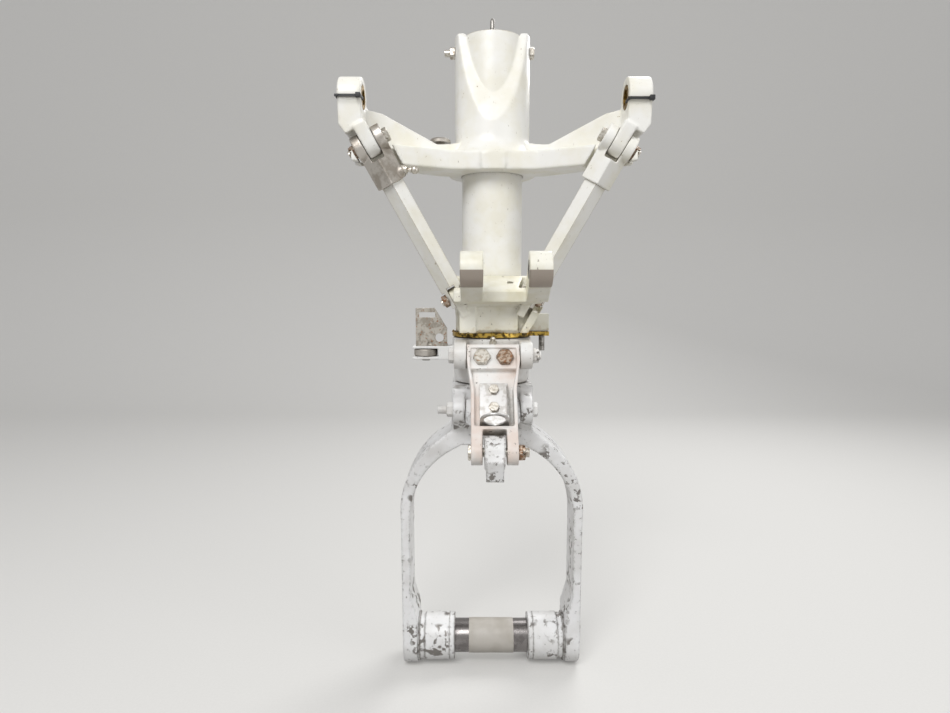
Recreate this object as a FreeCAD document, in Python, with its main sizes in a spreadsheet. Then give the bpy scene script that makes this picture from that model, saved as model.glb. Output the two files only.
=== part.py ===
"""Nose landing gear strut: a parametric document of separate pieces, in millimetres.

The part's frame has its origin at the midpoint of the trunnion axis, +X to the strut's left
trunnion-to-trunnion direction, -Y forward and +Z up.  Every rule below is written in the
strut's own coordinates instead, where the strut axis is X = Y = 0 and Z = 0 is the height of
the axle; seat() then moves each finished piece into the part's frame.
"""
import FreeCAD, Part
import math
import os
import re

import Sketcher

DIMENSIONS = {
    # Frame of the part: where the trunnion axis lies, seen from the strut axis and the axle
    "trunnion_forward": 85.0,
    "trunnion_height": 629.0,
    # Fits
    "bearing_fit": 0.05,
    "side_gap": 0.5,
    "bolt_gap": 0.1,
    # Outer cylinder and its cap
    "cylinder_dia": 70.0,
    "cylinder_bore": 60.0,
    "cylinder_base": 327.0,
    "cylinder_top": 716.0,
    "cap_depth": 26.0,
    "cap_drop": 2.0,
    "valve_dia": 8.0,
    "valve_hex": 14.0,
    "valve_hex_height": 5.0,
    "valve_rise": 25.0,
    # Piston
    "piston_dia": 56.0,
    "piston_bore": 46.0,
    "piston_top": 560.0,
    "piston_head": 22.0,
    # Trunnion casting
    "shell_dia": 86.0,
    "shell_top": 719.0,
    "shell_cut_top": 17.5,
    "shell_cut_run": 4.0,
    "flare_dia": 108.0,
    "flare_top": 604.0,
    "arm_base": 563.0,
    "arm_top": 584.0,
    "arm_front": 50.0,
    "arm_back": 5.0,
    "arm_straight": 48.0,
    "arm_web": 11.0,
    "arm_web_rise": 38.0,
    "arm_web_shoulder": 15.0,
    "ear_middle": 147.0,
    "ear_width": 24.0,
    "ear_dia": 40.0,
    "ear_step": 2.0,
    "ear_cut_out": 599.0,
    "ear_cut_in": 568.0,
    "bushing_dia": 24.0,
    "bushing_bore": 16.0,
    "front_band": 4.0,
    "front_bump": 13.0,
    "cross_bolt_height": 703.0,
    "cross_bolt_dia": 7.9,
    # Braces
    "brace_top_out": 129.0,
    "brace_top_height": 583.0,
    "brace_foot_out": 42.0,
    "brace_foot_forward": 50.0,
    "brace_side": 17.0,
    "brace_clevis_width": 34.0,
    "brace_clevis_deep": 28.0,
    "brace_clevis_length": 60.0,
    "brace_head_side": 24.0,
    "brace_head_start": 3.0,
    "stud_drop": 39.0,
    "stud_boss_dia": 12.0,
    "brace_slot": 14.6,
    "brace_slot_length": 18.0,
    "brace_tab": 14.0,
    "brace_tab_round": 14.0,
    "brace_bolt_dia": 7.9,
    "clevis_room": 2.0,
    "foot_tab": 9.0,
    "foot_tab_round": 10.5,
    "foot_slot_length": 13.5,
    "foot_cheek": 4.5,
    "foot_room": 17.0,
    "foot_spot": 9.0,
    # Lower casting
    "sleeve_dia": 86.0,
    "shelf_left": 43.0,
    "shelf_right": 53.0,
    "shelf_front": 75.0,
    "shelf_drop": 18.0,
    "shelf_thick": 11.0,
    "pad_half": 28.5,
    "pad_front": 48.0,
    "lug_left": 23.5,
    "lug_right": 47.5,
    "lug_width": 24.0,
    "lug_round": 19.0,
    "lug_root": 11.0,
    "lug_forward": 100.0,
    "lug_bush_dia": 20.0,
    "lug_bush_bore": 12.7,
    "stop_lug_width": 18.0,
    "rib_front": 54.0,
    "rib_thick": 9.0,
    "side_plate_front": 42.0,
    # Stop ring and pin, gland nut
    "stop_ring_dia": 94.0,
    "stop_pin_out": 60.0,
    "stop_pin_dia": 7.0,
    "stop_pin_length": 23.0,
    "gland_dia": 90.0,
    "gland_height": 15.5,
    "gland_lip": 2.6,
    "notch_width": 9.0,
    "notch_depth": 4.0,
    "notch_height": 11.0,
    "notch_count": 6.0,
    # Steering collar
    "collar_dia": 94.0,
    "collar_height": 34.0,
    "collar_lug": 14.0,
    "collar_lug_round": 15.0,
    "steer_arm_out": 94.0,
    "steer_arm_deep": 24.0,
    "steer_arm_thick": 16.0,
    "roller_out": 79.0,
    "roller_dia": 28.0,
    "roller_thick": 8.5,
    "roller_gap": 0.4,
    "roller_pin_dia": 6.0,
    "bracket_sheet": 1.6,
    "bracket_inner": 51.0,
    "bracket_outer": 90.0,
    "bracket_height": 45.0,
    "bracket_fold": 9.0,
    "bracket_slot_long": 19.0,
    "bracket_slot_high": 6.0,
    "bracket_hole": 10.0,
    # Torque links: pivots in the strut's own coordinates
    "upper_pivot_forward": 62.0,
    "lower_pivot_forward": 50.0,
    "apex_forward": 130.0,
    "apex_play": 6.6,
    "pivot_dia": 9.5,
    "upper_link_half": 29.0,
    "upper_link_waist": 24.5,
    "upper_link_round": 12.0,
    "upper_link_front": 10.0,
    "upper_link_back": 5.5,
    "upper_link_rim": 4.0,
    "recess_depth": 8.0,
    "recess_start": 22.0,
    "panel_depth": 2.5,
    "panel_top": 3.0,
    "face_bolt_drop": 9.0,
    "face_bolt_out": 12.5,
    "face_bolt_dia": 8.0,
    "face_bolt_flats": 16.5,
    "face_bolt_grip": 5.0,
    "screw_high": 45.0,
    "screw_low": 66.0,
    "screw_dia": 6.0,
    "clip_half": 15.0,
    "clip_head": 37.0,
    "clip_foot": 87.0,
    "clip_reach": 15.0,
    "fitting_dia": 8.0,
    "clevis_slot": 24.6,
    "clevis_slot_reach": 21.0,
    "clevis_half": 24.0,
    "clevis_round": 13.0,
    "lower_link_half": 30.5,
    "lower_link_arm": 11.0,
    "lower_link_round": 11.5,
    "lower_link_thick": 13.0,
    "tongue_width": 21.0,
    "tongue_round": 17.0,
    "tip_width": 18.0,
    "tip_length": 15.0,
    "tip_drop": 24.0,
    "tip_hole": 6.0,
    # Fork
    "fork_inside": 90.0,
    "leg_thick": 11.0,
    "leg_out": 108.7,
    "leg_end_round": 30.5,
    "leg_deep": 56.0,
    "shoulder_height": 158.0,
    "shoulder_round": 110.0,
    "shoulder_inner_round": 100.0,
    "crown_half": 47.0,
    "crown_front": 37.0,
    "fork_lug": 14.0,
    "fork_lug_round": 16.0,
    # Axle
    "axle_dia": 40.0,
    "sleeve_half": 27.5,
    "sleeve_step": 0.6,
    "spacer_dia": 56.0,
    "spacer_bare": 6.0,
    "spacer_length": 45.0,
    "rod_dia": 19.0,
    "rod_head": 30.0,
    "rod_head_thick": 4.0,
    # Small fittings
    "ball_dia": 9.0,
    "port_dia": 24.0,
    "port_rise": 15.0,
    # Heights along the strut, each from the piece under it or over it
    "ring_gap": 1.0,
    "stop_ring_height": 5.0,
    "sleeve_height": 65.0,
    "pad_height": 30.0,
    "lug_rise": 70.0,
    "brace_foot_rise": 42.0,
    "steer_arm_rise": 7.0,
    "upper_pivot_rise": 16.6,
    "crown_gap": 1.4,
    "crown_height": 71.0,
    "crown_neck_drop": 53.0,
    "piston_foot_rise": 10.0,
    "lower_pivot_drop": 26.2,
    "apex_drop": 29.6,
    "collar_base": "=cylinder_base + gland_height + side_gap",
    "stop_ring_base": "=collar_base + collar_height + ring_gap",
    "sleeve_base": "=stop_ring_base + stop_ring_height",
    "sleeve_top": "=sleeve_base + sleeve_height",
    "pad_top": "=sleeve_base + pad_height",
    "rib_top": "=pad_top",
    "lug_height": "=sleeve_base + lug_rise",
    "brace_foot_height": "=sleeve_base + brace_foot_rise",
    "steer_arm_base": "=collar_base + steer_arm_rise",
    "upper_pivot_height": "=collar_base + upper_pivot_rise",
    "crown_top": "=cylinder_base - gland_lip - crown_gap",
    "crown_neck": "=crown_top - crown_neck_drop",
    "crown_under": "=crown_top - crown_height",
    "piston_foot": "=crown_under + piston_foot_rise",
    "lower_pivot_height": "=crown_top - lower_pivot_drop",
    "apex_height": "=lower_pivot_height - apex_drop",
}

ALONG_X = FreeCAD.Rotation(FreeCAD.Vector(0, 1, 0), 90)
ALONG_Y = FreeCAD.Rotation(FreeCAD.Vector(1, 0, 0), -90)
UPRIGHT = FreeCAD.Rotation()
SIDES = {"left": -1, "right": 1}

doc = FreeCAD.newDocument("landing_gear_strut")
sheet = doc.addObject("Spreadsheet::Sheet", "Dims")
for row, (alias, size) in enumerate(DIMENSIONS.items(), start=1):
    sheet.set("A%d" % row, alias)
    sheet.set("B%d" % row, str(size))
    sheet.setAlias("B%d" % row, alias)
doc.recompute()

sub_parts = []


# ---------------------------------------------------------------- rules and placing

def rule(text):
    """The expression for a rule written with the bare names of dimensions."""
    def cell(word):
        return "Dims." + word.group() if word.group() in DIMENSIONS else word.group()
    return re.sub(r"[a-z_][a-z_0-9]*", cell, str(text))


def size_of(text):
    """The present value of a rule."""
    return float(sheet.evalExpression(rule(text)))


def bind(item, rules):
    """Tie an object's properties to their rules."""
    for prop, text in rules.items():
        item.setExpression(prop, rule(text))


def place(item, at, turn=UPRIGHT):
    """Stand an object at a point given by three rules, turned by a fixed rotation."""
    item.Placement = FreeCAD.Placement(FreeCAD.Vector(), turn)
    bind(item, {"Placement.Base." + letter: text for letter, text in zip("xyz", at)})
    return item


def seat(item, node, at=("0", "0", "0"), turn=UPRIGHT):
    """Name a finished piece and move it from the strut's coordinates to the part's frame."""
    forward = "%s + trunnion_forward" % at[1]
    up = "%s - trunnion_height" % at[2]
    place(item, (at[0], forward, up), turn)
    item.Label = node
    sub_parts.append(item)
    return item


# ---------------------------------------------------------------- simple solids

def rod(name, dia, length, start=("0", "0", "0"), turn=UPRIGHT):
    item = doc.addObject("Part::Cylinder", name)
    bind(item, {"Radius": "(%s) / 2" % dia, "Height": length})
    return place(item, start, turn)


def block(name, low, high):
    """A box between two corners, each given by three rules."""
    item = doc.addObject("Part::Box", name)
    spans = ["(%s) - (%s)" % (b, a) for a, b in zip(low, high)]
    bind(item, dict(zip(("Length", "Width", "Height"), spans)))
    return place(item, low)


def taper(name, dia_low, dia_high, length, start=("0", "0", "0"), turn=UPRIGHT):
    item = doc.addObject("Part::Cone", name)
    bind(item, {"Radius1": "(%s) / 2" % dia_low, "Radius2": "(%s) / 2" % dia_high, "Height": length})
    return place(item, start, turn)


def hexagon(name, flats, length, start=("0", "0", "0"), turn=UPRIGHT):
    item = doc.addObject("Part::Prism", name)
    item.Polygon = 6
    bind(item, {"Circumradius": "(%s) / 2 / cos(30)" % flats, "Height": length})
    return place(item, start, turn)


def fuse(name, items):
    item = doc.addObject("Part::MultiFuse", name)
    item.Shapes = items
    item.Refine = True
    return item


def cut(name, base, tools):
    item = doc.addObject("Part::Cut", name)
    item.Base = base
    item.Tool = tools[0] if len(tools) == 1 else fuse(name + "_tools", tools)
    item.Refine = True
    return item


def common(name, one, other):
    item = doc.addObject("Part::Common", name)
    item.Base = one
    item.Tool = other
    item.Refine = True
    return item


# ---------------------------------------------------------------- sketched bodies

def trace(sketch, path):
    """Draw a closed outline, with each corner held by its own two rules.

    A corner is (u, v) after a straight stretch, or (u, v, radius, side) after an arc whose
    centre lies to that side ("left" or "right") of the way it runs.
    """
    corners = [FreeCAD.Vector(size_of(stop[0]), size_of(stop[1]), 0) for stop in path]
    ends = []
    for index, stop in enumerate(path):
        start, end = corners[index - 1], corners[index]
        if len(stop) == 2:
            ends.append((sketch.addGeometry(Part.LineSegment(start, end)), 1, 2))
            continue
        radius, side = size_of(stop[2]), stop[3]
        chord = end - start
        lift = math.sqrt(max(radius ** 2 - (chord.Length / 2) ** 2, 0.0))
        across = FreeCAD.Vector(-chord.y, chord.x, 0).normalize()
        middle = (start + end) * 0.5 + across * (lift if side == "left" else -lift)
        circle = Part.Circle(middle, FreeCAD.Vector(0, 0, 1), radius)
        angles = [math.atan2(point.y - middle.y, point.x - middle.x) for point in (start, end)]
        if side == "left":
            ends.append((sketch.addGeometry(Part.ArcOfCircle(circle, *angles)), 1, 2))
        else:
            ends.append((sketch.addGeometry(Part.ArcOfCircle(circle, *reversed(angles))), 2, 1))
        if lift > radius / 50:
            held = sketch.addConstraint(Sketcher.Constraint("Radius", ends[-1][0], radius))
            sketch.setExpression("Constraints[%d]" % held, rule(stop[2]))
            continue
        # A half circle: its centre is the middle of its two ends
        which = 0 if abs(across.x) > abs(across.y) else 1
        centre_rule = "((%s) + (%s)) / 2" % (path[index - 1][which], stop[which])
        held = sketch.addConstraint(Sketcher.Constraint(("DistanceX", "DistanceY")[which], -1, 1,
                                                        ends[-1][0], 3,
                                                        middle[which]))
        sketch.setExpression("Constraints[%d]" % held, rule(centre_rule))
    for index, (edge, _, last) in enumerate(ends):
        following, first, _ = ends[(index + 1) % len(ends)]
        sketch.addConstraint(Sketcher.Constraint("Coincident", edge, last, following, first))
        for kind, text in (("DistanceX", path[index][0]), ("DistanceY", path[index][1])):
            held = sketch.addConstraint(Sketcher.Constraint(kind, -1, 1, edge, last, size_of(text)))
            sketch.setExpression("Constraints[%d]" % held, rule(text))


def sketch_on(body, plane, path, offset="0"):
    """A closed outline on one of the body's own origin planes."""
    sketch = body.newObject("Sketcher::SketchObject", body.Name + "_outline")
    origin_plane = [item for item in body.Origin.OriginFeatures if item.Role == plane][0]
    sketch.AttachmentSupport = (origin_plane, [""])
    sketch.MapMode = "FlatFace"
    sketch.setExpression("AttachmentOffset.Base.z", rule(offset))
    trace(sketch, path)
    return sketch


def padded(name, plane, path, length, offset="0", midplane=False):
    """A body with one outline padded along its plane's normal."""
    body = doc.addObject("PartDesign::Body", name)
    feature = body.newObject("PartDesign::Pad", name + "_pad")
    feature.Profile = sketch_on(body, plane, path, offset)
    feature.Midplane = midplane
    bind(feature, {"Length": length})
    body.Tip = feature
    return body


def turned(name, path):
    """A body of revolution about the strut's Z axis, from a half outline in the XZ plane."""
    body = doc.addObject("PartDesign::Body", name)
    sketch = sketch_on(body, "XZ_Plane", path)
    feature = body.newObject("PartDesign::Revolution", name + "_turn")
    feature.Profile = sketch
    feature.ReferenceAxis = (sketch, ["V_Axis"])
    feature.Angle = 360
    body.Tip = feature
    return body


# ---------------------------------------------------------------- fasteners

def hex_bolt(node, dia, length, at, turn, flats="dia * 1.6", head="dia * 0.62"):
    """A hexagon bolt: the head's seat is at the local origin, the shank runs along +Z."""
    flats = flats.replace("dia", "(%s)" % dia)
    head = head.replace("dia", "(%s)" % dia)
    name = node + "_blank"
    corners = hexagon(name + "_corners", flats, head, ("0", "0", "-(%s)" % head))
    crown = taper(name + "_crown", "%s * 0.95" % flats, "%s * 0.95 + (%s) * 3.4" % (flats, head), head,
                  ("0", "0", "-(%s)" % head))
    shank = rod(name + "_shank", dia, length)
    return seat(fuse(name, [common(name + "_head", corners, crown), shank]), node, at, turn)


def hex_nut(node, dia, at, turn, flats="dia * 1.55", tall="dia * 0.75", castle=False):
    """A nut whose bearing face is at the local origin; a castle nut has three slots across."""
    flats = flats.replace("dia", "(%s)" % dia)
    tall = tall.replace("dia", "(%s)" % dia)
    name = node + "_blank"
    corners = hexagon(name + "_corners", flats, tall)
    crown = taper(name + "_crown", "%s * 0.95 + (%s) * 3.4" % (flats, tall), "%s * 0.95" % flats, tall)
    tools = [rod(name + "_hole", dia, tall)]
    if castle:
        for step in range(3):
            slot = block("%s_slot%d" % (name, step),
                         ("-" + flats, "-(%s) * 0.13" % dia, "(%s) * 0.6" % tall),
                         (flats, "(%s) * 0.13" % dia, "%s * 1.1" % tall))
            slot.Placement.Rotation = FreeCAD.Rotation(FreeCAD.Vector(0, 0, 1), 60 * step)
            angle = math.radians(60 * step)
            bind(slot, {"Placement.Base.x": "-(%s) * %.6f + (%s) * 0.13 * %.6f"
                        % (flats, math.cos(angle), dia, math.sin(angle)),
                        "Placement.Base.y": "-(%s) * %.6f - (%s) * 0.13 * %.6f"
                        % (flats, math.sin(angle), dia, math.cos(angle))})
            tools.append(slot)
    return seat(cut(name, common(name + "_hex", corners, crown), tools), node, at, turn)


# ---------------------------------------------------------------- outer cylinder

def make_cylinder():
    tube = turned("cylinder_tube", [
        ("cylinder_bore / 2", "cylinder_base"), ("cylinder_dia / 2", "cylinder_base"),
        ("cylinder_dia / 2", "cylinder_top"), ("cylinder_bore / 2", "cylinder_top")])
    hole = rod("cylinder_cross_hole", "cross_bolt_dia + 2 * bolt_gap", "cylinder_dia * 2",
               ("-cylinder_dia", "0", "cross_bolt_height"), ALONG_X)
    seat(cut("cylinder", tube, [hole]), "strut_cylinder")

    cap = turned("cap_turned", [
        ("0", "cylinder_top - cap_depth"), ("cylinder_bore / 2", "cylinder_top - cap_depth"),
        ("cylinder_bore / 2", "cylinder_top - cap_drop"),
        ("cylinder_bore / 2 - cap_drop", "cylinder_top"), ("0", "cylinder_top")])
    cap_hole = rod("cap_cross_hole", "cross_bolt_dia + 2 * bolt_gap", "cylinder_dia * 2",
                   ("-cylinder_dia", "0", "cross_bolt_height"), ALONG_X)
    seat(cut("cap", cap, [cap_hole]), "cylinder_cap")

    base = hexagon("valve_base", "valve_hex", "valve_hex_height", ("0", "0", "cylinder_top"))
    stem = turned("valve_stem", [
        ("0", "cylinder_top"), ("valve_dia / 2", "cylinder_top"),
        ("valve_dia / 2", "cylinder_top + valve_rise * 0.5"),
        ("valve_dia * 0.32", "cylinder_top + valve_rise * 0.55"),
        ("valve_dia * 0.32", "cylinder_top + valve_rise * 0.9"),
        ("valve_dia * 0.2", "cylinder_top + valve_rise"), ("0", "cylinder_top + valve_rise")])
    seat(fuse("valve", [base, stem]), "air_valve")

    reach = "shell_dia / 2"
    hex_bolt("cross_bolt", "cross_bolt_dia", "shell_dia + cross_bolt_dia * 1.5",
             (reach, "0", "cross_bolt_height"), FreeCAD.Rotation(FreeCAD.Vector(0, 1, 0), -90))
    hex_nut("cross_bolt_nut", "cross_bolt_dia", ("-" + reach, "0", "cross_bolt_height"),
            FreeCAD.Rotation(FreeCAD.Vector(0, 1, 0), -90))


# ---------------------------------------------------------------- trunnion casting

def brace_axes(side):
    """Origin at the brace's upper pin, with X along the pin and Z down the brace."""
    top = FreeCAD.Vector(side * size_of("brace_top_out"), -size_of("trunnion_forward"),
                         size_of("brace_top_height"))
    foot = FreeCAD.Vector(side * size_of("brace_foot_out"), -size_of("brace_foot_forward"),
                          size_of("brace_foot_height"))
    down = (foot - top).normalize()
    pin = FreeCAD.Vector(-down.z * -side, 0, down.x * -side).normalize()
    return FreeCAD.Rotation(pin, down.cross(pin), down, "ZXY"), (foot - top).Length


TOP_PIN = ("%d * brace_top_out", "-trunnion_forward", "brace_top_height")
FOOT_PIN = ("%d * brace_foot_out", "-brace_foot_forward", "brace_foot_height")


def at_side(point, side):
    return tuple(text % side if "%d" in text else text for text in point)


def make_trunnion_casting():
    shell = turned("shell_turned", [
        ("cylinder_dia / 2", "arm_base"), ("flare_dia / 2 - 5", "arm_base"),
        ("flare_dia / 2", "arm_base + 6"), ("flare_dia / 2", "arm_top"),
        ("shell_dia / 2", "flare_top", "flare_top - arm_top + 4", "right"),
        ("shell_dia / 2", "shell_top"), ("cylinder_dia / 2", "shell_top")])
    cut_foot = "shell_top + 1 - (shell_dia / 2 + 1 - shell_cut_top) * shell_cut_run"
    scoop = padded("shell_scoop", "YZ_Plane", [
        ("-shell_cut_top", "shell_top + 1"), ("-shell_dia / 2 - 1", "shell_top + 1"),
        ("-shell_dia / 2 - 1", cut_foot)], "shell_dia + 10", midplane=True)
    pieces = [cut("shell", shell, [scoop])]
    tools = [rod("casting_bore", "cylinder_dia", "shell_top - arm_base + 2", ("0", "0", "arm_base - 1")),
             rod("casting_cross_hole", "cross_bolt_dia + 2 * bolt_gap", "shell_dia * 2",
                 ("-shell_dia", "0", "cross_bolt_height"), ALONG_X)]
    pieces.append(block("front_bump_block", ("-front_bump", "-arm_front - front_band", "arm_base"),
                        ("front_bump", "-arm_back", "arm_top - 3")))
    for word, side in SIDES.items():
        ear_in = "%d * (ear_middle - ear_width / 2)" % side
        ear_low = "(%d * ear_middle) - ear_width / 2" % side
        front = "-trunnion_forward - ear_dia / 2 + 6"
        back = "-trunnion_forward + ear_dia / 2 - 3"
        pieces.append(padded("arm_" + word, "XY_Plane", [
            ("0", "-arm_front"), ("%d * arm_straight" % side, "-arm_front - 2"),
            ("%d * ear_middle" % side, front), ("%d * ear_middle" % side, back),
            ("%d * arm_straight * 1.25" % side, "-arm_back - 1"), ("0", "-arm_back")],
            "arm_top - arm_base", "arm_base"))
        web_front = padded("web_front_" + word, "XZ_Plane", [
            ("%d * shell_dia / 2 - %d * 8" % (side, side), "arm_top - 2"),
            ("%d * shell_dia / 2 - %d * 8" % (side, side), "arm_top + 14"),
            ("%d * arm_straight * 1.3" % side, "arm_top + 10"),
            (ear_in + " - %d * arm_web_shoulder" % side, "arm_top + arm_web_rise - 2"),
            (ear_in, "arm_top + arm_web_rise"), (ear_in, "arm_top - 2")], "300", midplane=True)
        web_plan = padded("web_plan_" + word, "XY_Plane", [
            ("%d * 20" % side, "-arm_back - 20"), ("%d * arm_straight" % side, "-arm_back - 22"),
            ("%d * ear_middle" % side, back + " - 6"),
            ("%d * ear_middle" % side, back + " + 5"),
            ("%d * arm_straight" % side, "-arm_back - 22 + arm_web"),
            ("%d * 20" % side, "-arm_back - 20 + arm_web")], "100", "arm_top - 10")
        pieces.append(common("web_" + word, web_front, web_plan))
        pieces.append(rod("ear_" + word, "ear_dia", "ear_width",
                          (ear_low, "-trunnion_forward", "trunnion_height"),
                          ALONG_X))
        shank_side = padded("shank_side_" + word, "YZ_Plane", [
            ("-trunnion_forward - ear_dia / 2 + ear_step", "trunnion_height"),
            (front, "arm_base + 14"), (front + " + 6", "brace_top_height - brace_tab_round"),
            (back + " - 4", "brace_top_height - brace_tab_round"), (back, "arm_base + 14"),
            ("-trunnion_forward + ear_dia / 2", "trunnion_height")], "ear_width", ear_low)
        ear_out = "%d * (ear_middle + ear_width / 2)" % side
        shank_front = padded("shank_front_" + word, "XZ_Plane", [
            (ear_out, "trunnion_height"), (ear_in, "trunnion_height"), (ear_in, "ear_cut_in"),
            (ear_out, "ear_cut_out")], "300", midplane=True)
        pieces.append(common("shank_" + word, shank_side, shank_front))
        tools.append(rod("ear_bore_" + word, "bushing_dia", "ear_width + 2",
                         (ear_low + " - 1", "-trunnion_forward", "trunnion_height"), ALONG_X))
        turn, _ = brace_axes(side)
        pin_place = at_side(TOP_PIN, side)
        reach, deep = "brace_clevis_width / 2 + clevis_room", "brace_head_side / 2 / cos(45) + clevis_room"
        clear = block("brace_room_%s_blank" % word, ("-(%s)" % reach, "-(%s)" % deep, "-(%s)" % deep),
                      (reach, deep, "brace_clevis_length"))
        slab = block("brace_tab_%s_slab" % word, ("-brace_tab / 2", "-60", "-60"),
                     ("brace_tab / 2", "60", "brace_tab_round + bolt_gap"))
        bolt_room = rod("brace_bolt_room_" + word, "brace_bolt_dia * 2.6",
                        "brace_clevis_width + brace_bolt_dia * 3.2",
                        ("-brace_clevis_width / 2 - brace_bolt_dia * 1.6", "0", "0"), ALONG_X)
        room = cut("brace_room_" + word, fuse("brace_room_whole_" + word, [clear, bolt_room]), [slab])
        tools.append(place(room, pin_place, turn))
        tab = fuse("brace_tab_%s_blank" % word, [
            rod("brace_tab_eye_" + word, "2 * brace_tab_round", "brace_tab",
                ("-brace_tab / 2", "0", "0"), ALONG_X),
            block("brace_tab_neck_" + word, ("-brace_tab / 2", "-brace_tab_round", "-22"),
                  ("brace_tab / 2", "brace_tab_round", "0"))])
        pieces.append(place(tab, pin_place, turn))
        pin_hole = rod("brace_tab_hole_%s_blank" % word, "brace_bolt_dia", "60", ("-30", "0", "0"),
                       ALONG_X)
        hole = fuse("brace_tab_hole_" + word,
                    [pin_hole, rod("brace_tab_spare_" + word, "brace_bolt_dia / 2", "20",
                                                              ("-10", "0", "0"), ALONG_X)])
        tools.append(place(hole, pin_place, turn))
    seat(cut("trunnion_casting_solid", fuse("trunnion_casting_blank", pieces), tools),
         "trunnion_casting")

    for word, side in SIDES.items():
        low = "(%d * ear_middle) - ear_width / 2" % side
        bush = rod("bushing_blank_" + word, "bushing_dia", "ear_width",
                   (low, "-trunnion_forward", "trunnion_height"),
                   ALONG_X)
        hole = rod("bushing_hole_" + word, "bushing_bore", "ear_width + 2",
                   (low + " - 1", "-trunnion_forward", "trunnion_height"), ALONG_X)
        seat(cut("bushing_" + word, bush, [hole]), "trunnion_bushing_" + word)


# ---------------------------------------------------------------- braces

def make_braces():
    for word, side in SIDES.items():
        turn, length = brace_axes(side)
        top = at_side(TOP_PIN, side)
        bar = doc.addObject("Part::Box", "brace_bar_blank_" + word)
        bind(bar, {"Length": "brace_side", "Width": "brace_side"})
        bar.Height = length + size_of("foot_tab_round") - size_of("brace_clevis_length") + size_of("brace_tab_round")
        place(bar, ("0", "-brace_side / 2 / cos(45)", "brace_clevis_length - brace_tab_round"),
              FreeCAD.Rotation(FreeCAD.Vector(0, 0, 1), 45))
        foot = "%.4f" % length
        slot = block("brace_foot_slot_" + word,
                     ("-foot_tab / 2 - bolt_gap", "-30", foot + " - foot_slot_length"),
                     ("foot_tab / 2 + bolt_gap", "30", foot + " + 30"))
        hole = rod("brace_foot_hole_" + word, "brace_bolt_dia", "60", ("-30", "0", foot), ALONG_X)
        spots = [block("brace_foot_spot_%s_%d" % (word, face), *spot) for face, spot in enumerate((
            (("foot_tab / 2 + foot_cheek", "-30", foot + " - foot_spot"), ("40", "30", foot + " + 30")),
            (("-40", "-30", foot + " - foot_spot"),
             ("-foot_tab / 2 - foot_cheek", "30", foot + " + 30"))))]
        seat(cut("brace_bar_cut_" + word, bar, [slot, hole] + spots), "brace_bar_" + word, top, turn)

        body = doc.addObject("Part::Box", "brace_head_" + word)
        bind(body, {"Length": "brace_head_side", "Width": "brace_head_side",
                    "Height": "brace_clevis_length - brace_tab_round - brace_head_start"})
        place(body, ("0", "-brace_head_side / 2 / cos(45)", "brace_head_start"),
              FreeCAD.Rotation(FreeCAD.Vector(0, 0, 1), 45))
        eye = rod("brace_eye_" + word, "brace_clevis_deep", "brace_clevis_width",
                  ("-brace_clevis_width / 2", "0", "0"), ALONG_X)
        gap = block("brace_gap_" + word, ("-brace_slot / 2", "-30", "-30"),
                    ("brace_slot / 2", "30", "brace_slot_length"))
        pin_hole = rod("brace_pin_hole_" + word, "brace_bolt_dia", "60", ("-30", "0", "0"), ALONG_X)
        boss = [rod("stud_boss", "stud_boss_dia", "brace_clevis_width / 4",
                    ("brace_clevis_width / 4", "0", "stud_drop"),
                    ALONG_X)] if side < 0 else []
        seat(cut("brace_clevis_cut_" + word, fuse("brace_clevis_blank_" + word, [body, eye] + boss),
                 [gap, pin_hole]),
             "brace_clevis_" + word, top, turn)

        reach = size_of("brace_clevis_width") / 2
        for part, centre, half in (("brace_bolt_", 0.0, reach),
                                   ("brace_foot_bolt_", length,
                                    size_of("brace_side") / 2 / math.cos(math.pi / 4))):
            middle = FreeCAD.Vector(*[size_of(text) for text in top]) + turn.multVec(FreeCAD.Vector(0, 0,
                    centre))
            axis = turn.multVec(FreeCAD.Vector(1, 0, 0))
            if part == "brace_foot_bolt_":
                half = size_of("foot_tab / 2 + foot_cheek")
            head = middle + axis * half
            spin = turn.multiply(FreeCAD.Rotation(FreeCAD.Vector(0, 1, 0), -90))
            tail = "%.4f" % (2 * half + size_of("brace_bolt_dia"))
            hex_bolt(part + word, "brace_bolt_dia", tail, tuple("%.4f" % number for number in head),
                     spin)
            nut = middle - axis * half
            hex_nut(part.replace("bolt", "nut") + word, "brace_bolt_dia",
                    tuple("%.4f" % number for number in nut),
                    spin, castle=(centre == 0.0))


# ---------------------------------------------------------------- lower casting

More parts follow.
